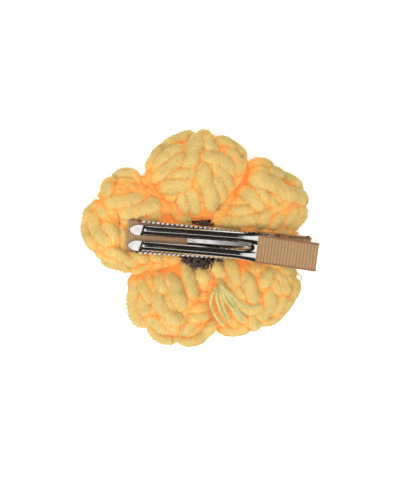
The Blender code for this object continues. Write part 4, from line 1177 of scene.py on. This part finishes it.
def make_ribbons():
    clear = GLUE_GAP + 0.2
    over = [off_underside(18.7 + (LEVER_END - 18.7) * i / 30, SHEET + clear) for i in range(31)]
    middle = off_underside(LEVER_END, SHEET / 2)
    tilt = math.degrees(LEVER_SLOPE)
    wrap = arc(middle, SHEET / 2 + clear, 90 + tilt, -90 + tilt)
    path = over + wrap + [off_underside(27.5, -clear)]

    def over_channels(x, z, y):
        return channel(x, y) if z > underside(x)[0] else 0.0

    def half_width(x, z):
        return RIBBON_HALF

    make_ribbon("lever_ribbon_woven", path, 1, 1.09, half_width, over_channels, LEVER, "lever_ribbon")

    floor = 14.9
    above, below, middle = floor + SHEET + clear, floor - clear, floor + SHEET / 2
    path = [(-4.8, above)] + arc((-24.6, middle), SHEET / 2 + clear, 90, 270)
    path += [(34.0, below)] + arc((37.0, middle), SHEET / 2 + clear, -90, 90) + [(36.0, above), (30.0, above)]

    def fitted(x, z):
        if x > 35.5 or (x > 0 and z > middle):
            return 4.2
        if z > middle - 0.3 or x < -24.5:
            return 5.65 - 0.55 * ease(x, -22.8, -21.8) - 0.35 * ease(x, -21.8, -4.0)
        return RIBBON_HALF

    make_ribbon("jaw_ribbon_woven", path, -1, 0.78, fitted, lambda x, z, y: 0.0, FLOWER, "jaw_ribbon")


# ---- spring, pin, toothed jaw and glue ----------------------------------------------------------------
def make_spring():
    """The leaf spring, copied in place from its CAD node and given spring steel."""
    mesh = NODES["leaf_spring"].data.copy()
    mesh.transform(NODES["leaf_spring"].matrix_world)
    mesh.materials.clear()
    mesh.materials.append(SPRING)
    spring = bpy.data.objects.new("leaf_spring_steel", mesh)
    bpy.context.scene.collection.objects.link(spring)
    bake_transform(spring)
    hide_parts("leaf_spring")


def dress_cad_nodes():
    for cad_node, finish in (("tooth_jaw", JAW_STEEL), ("pivot_pin", SPRING), ("glue_pad", GLUE)):
        NODES[cad_node].data.materials.clear()
        NODES[cad_node].data.materials.append(finish)


for seed, petal in enumerate(PETAL_TURN):
    make_petal(petal, seed + 11)
make_centre()
make_prong_jaw()
make_ribbons()
make_spring()
dress_cad_nodes()


# ---- floor and light ----------------------------------------------------------------------------------
def make_floor():
    """A pale sheet, lit from below as on a light table."""
    bpy.ops.mesh.primitive_plane_add(size=4.0, location=(0, 0, -0.0005))
    floor = bpy.context.object
    floor.name = "floor"
    made, _, shader = new_material("pale_floor")
    shader.inputs["Base Color"].default_value = (0.55, 0.55, 0.55, 1.0)
    shader.inputs["Roughness"].default_value = 0.8
    shader.inputs["Specular IOR Level"].default_value = 0.1
    shader.inputs["Emission Color"].default_value = (1.0, 1.0, 1.0, 1.0)
    shader.inputs["Emission Strength"].default_value = 0.72
    floor.data.materials.append(made)


def area_light(name, low, high, height, radiance, mirrored):
    """A level softbox over the rectangle from low to high, seen or not seen in the steel."""
    data = bpy.data.lights.new(name, "AREA")
    data.shape = "RECTANGLE"
    data.size, data.size_y = high[0] - low[0], high[1] - low[1]
    data.energy = radiance * math.pi * data.size * data.size_y
    obj = bpy.data.objects.new(name, data)
    bpy.context.scene.collection.objects.link(obj)
    obj.location = ((low[0] + high[0]) / 2, (low[1] + high[1]) / 2, height)
    obj.visible_glossy = mirrored
    obj.visible_camera = False
    return obj


def make_light():
    world = bpy.data.worlds.new("studio")
    bpy.context.scene.world = world
    world.use_nodes = True
    tree = world.node_tree
    background = tree.nodes["Background"]
    rays = node(tree, "ShaderNodeLightPath")
    around = mixed(tree, rays.outputs["Is Glossy Ray"], (0.66, 0.66, 0.66), (0.022, 0.021, 0.018))
    tree.links.new(
        mixed(tree, rays.outputs["Is Camera Ray"], around, (1.0, 1.0, 1.0)), background.inputs["Color"]
    )
    background.inputs["Strength"].default_value = 1.0
    area_light("strip", (-0.03, -0.21), (0.122, -0.115), 0.7, 1.0, True)
    area_light("softbox", (-1.20, -0.27), (-0.03, 0.45), 0.7, 0.9, True)
    area_light("key", (-0.50, -1.10), (0.60, -0.30), 0.75, 1.5, False)


make_floor()
make_light()
bpy.context.scene.view_settings.view_transform = "Standard"
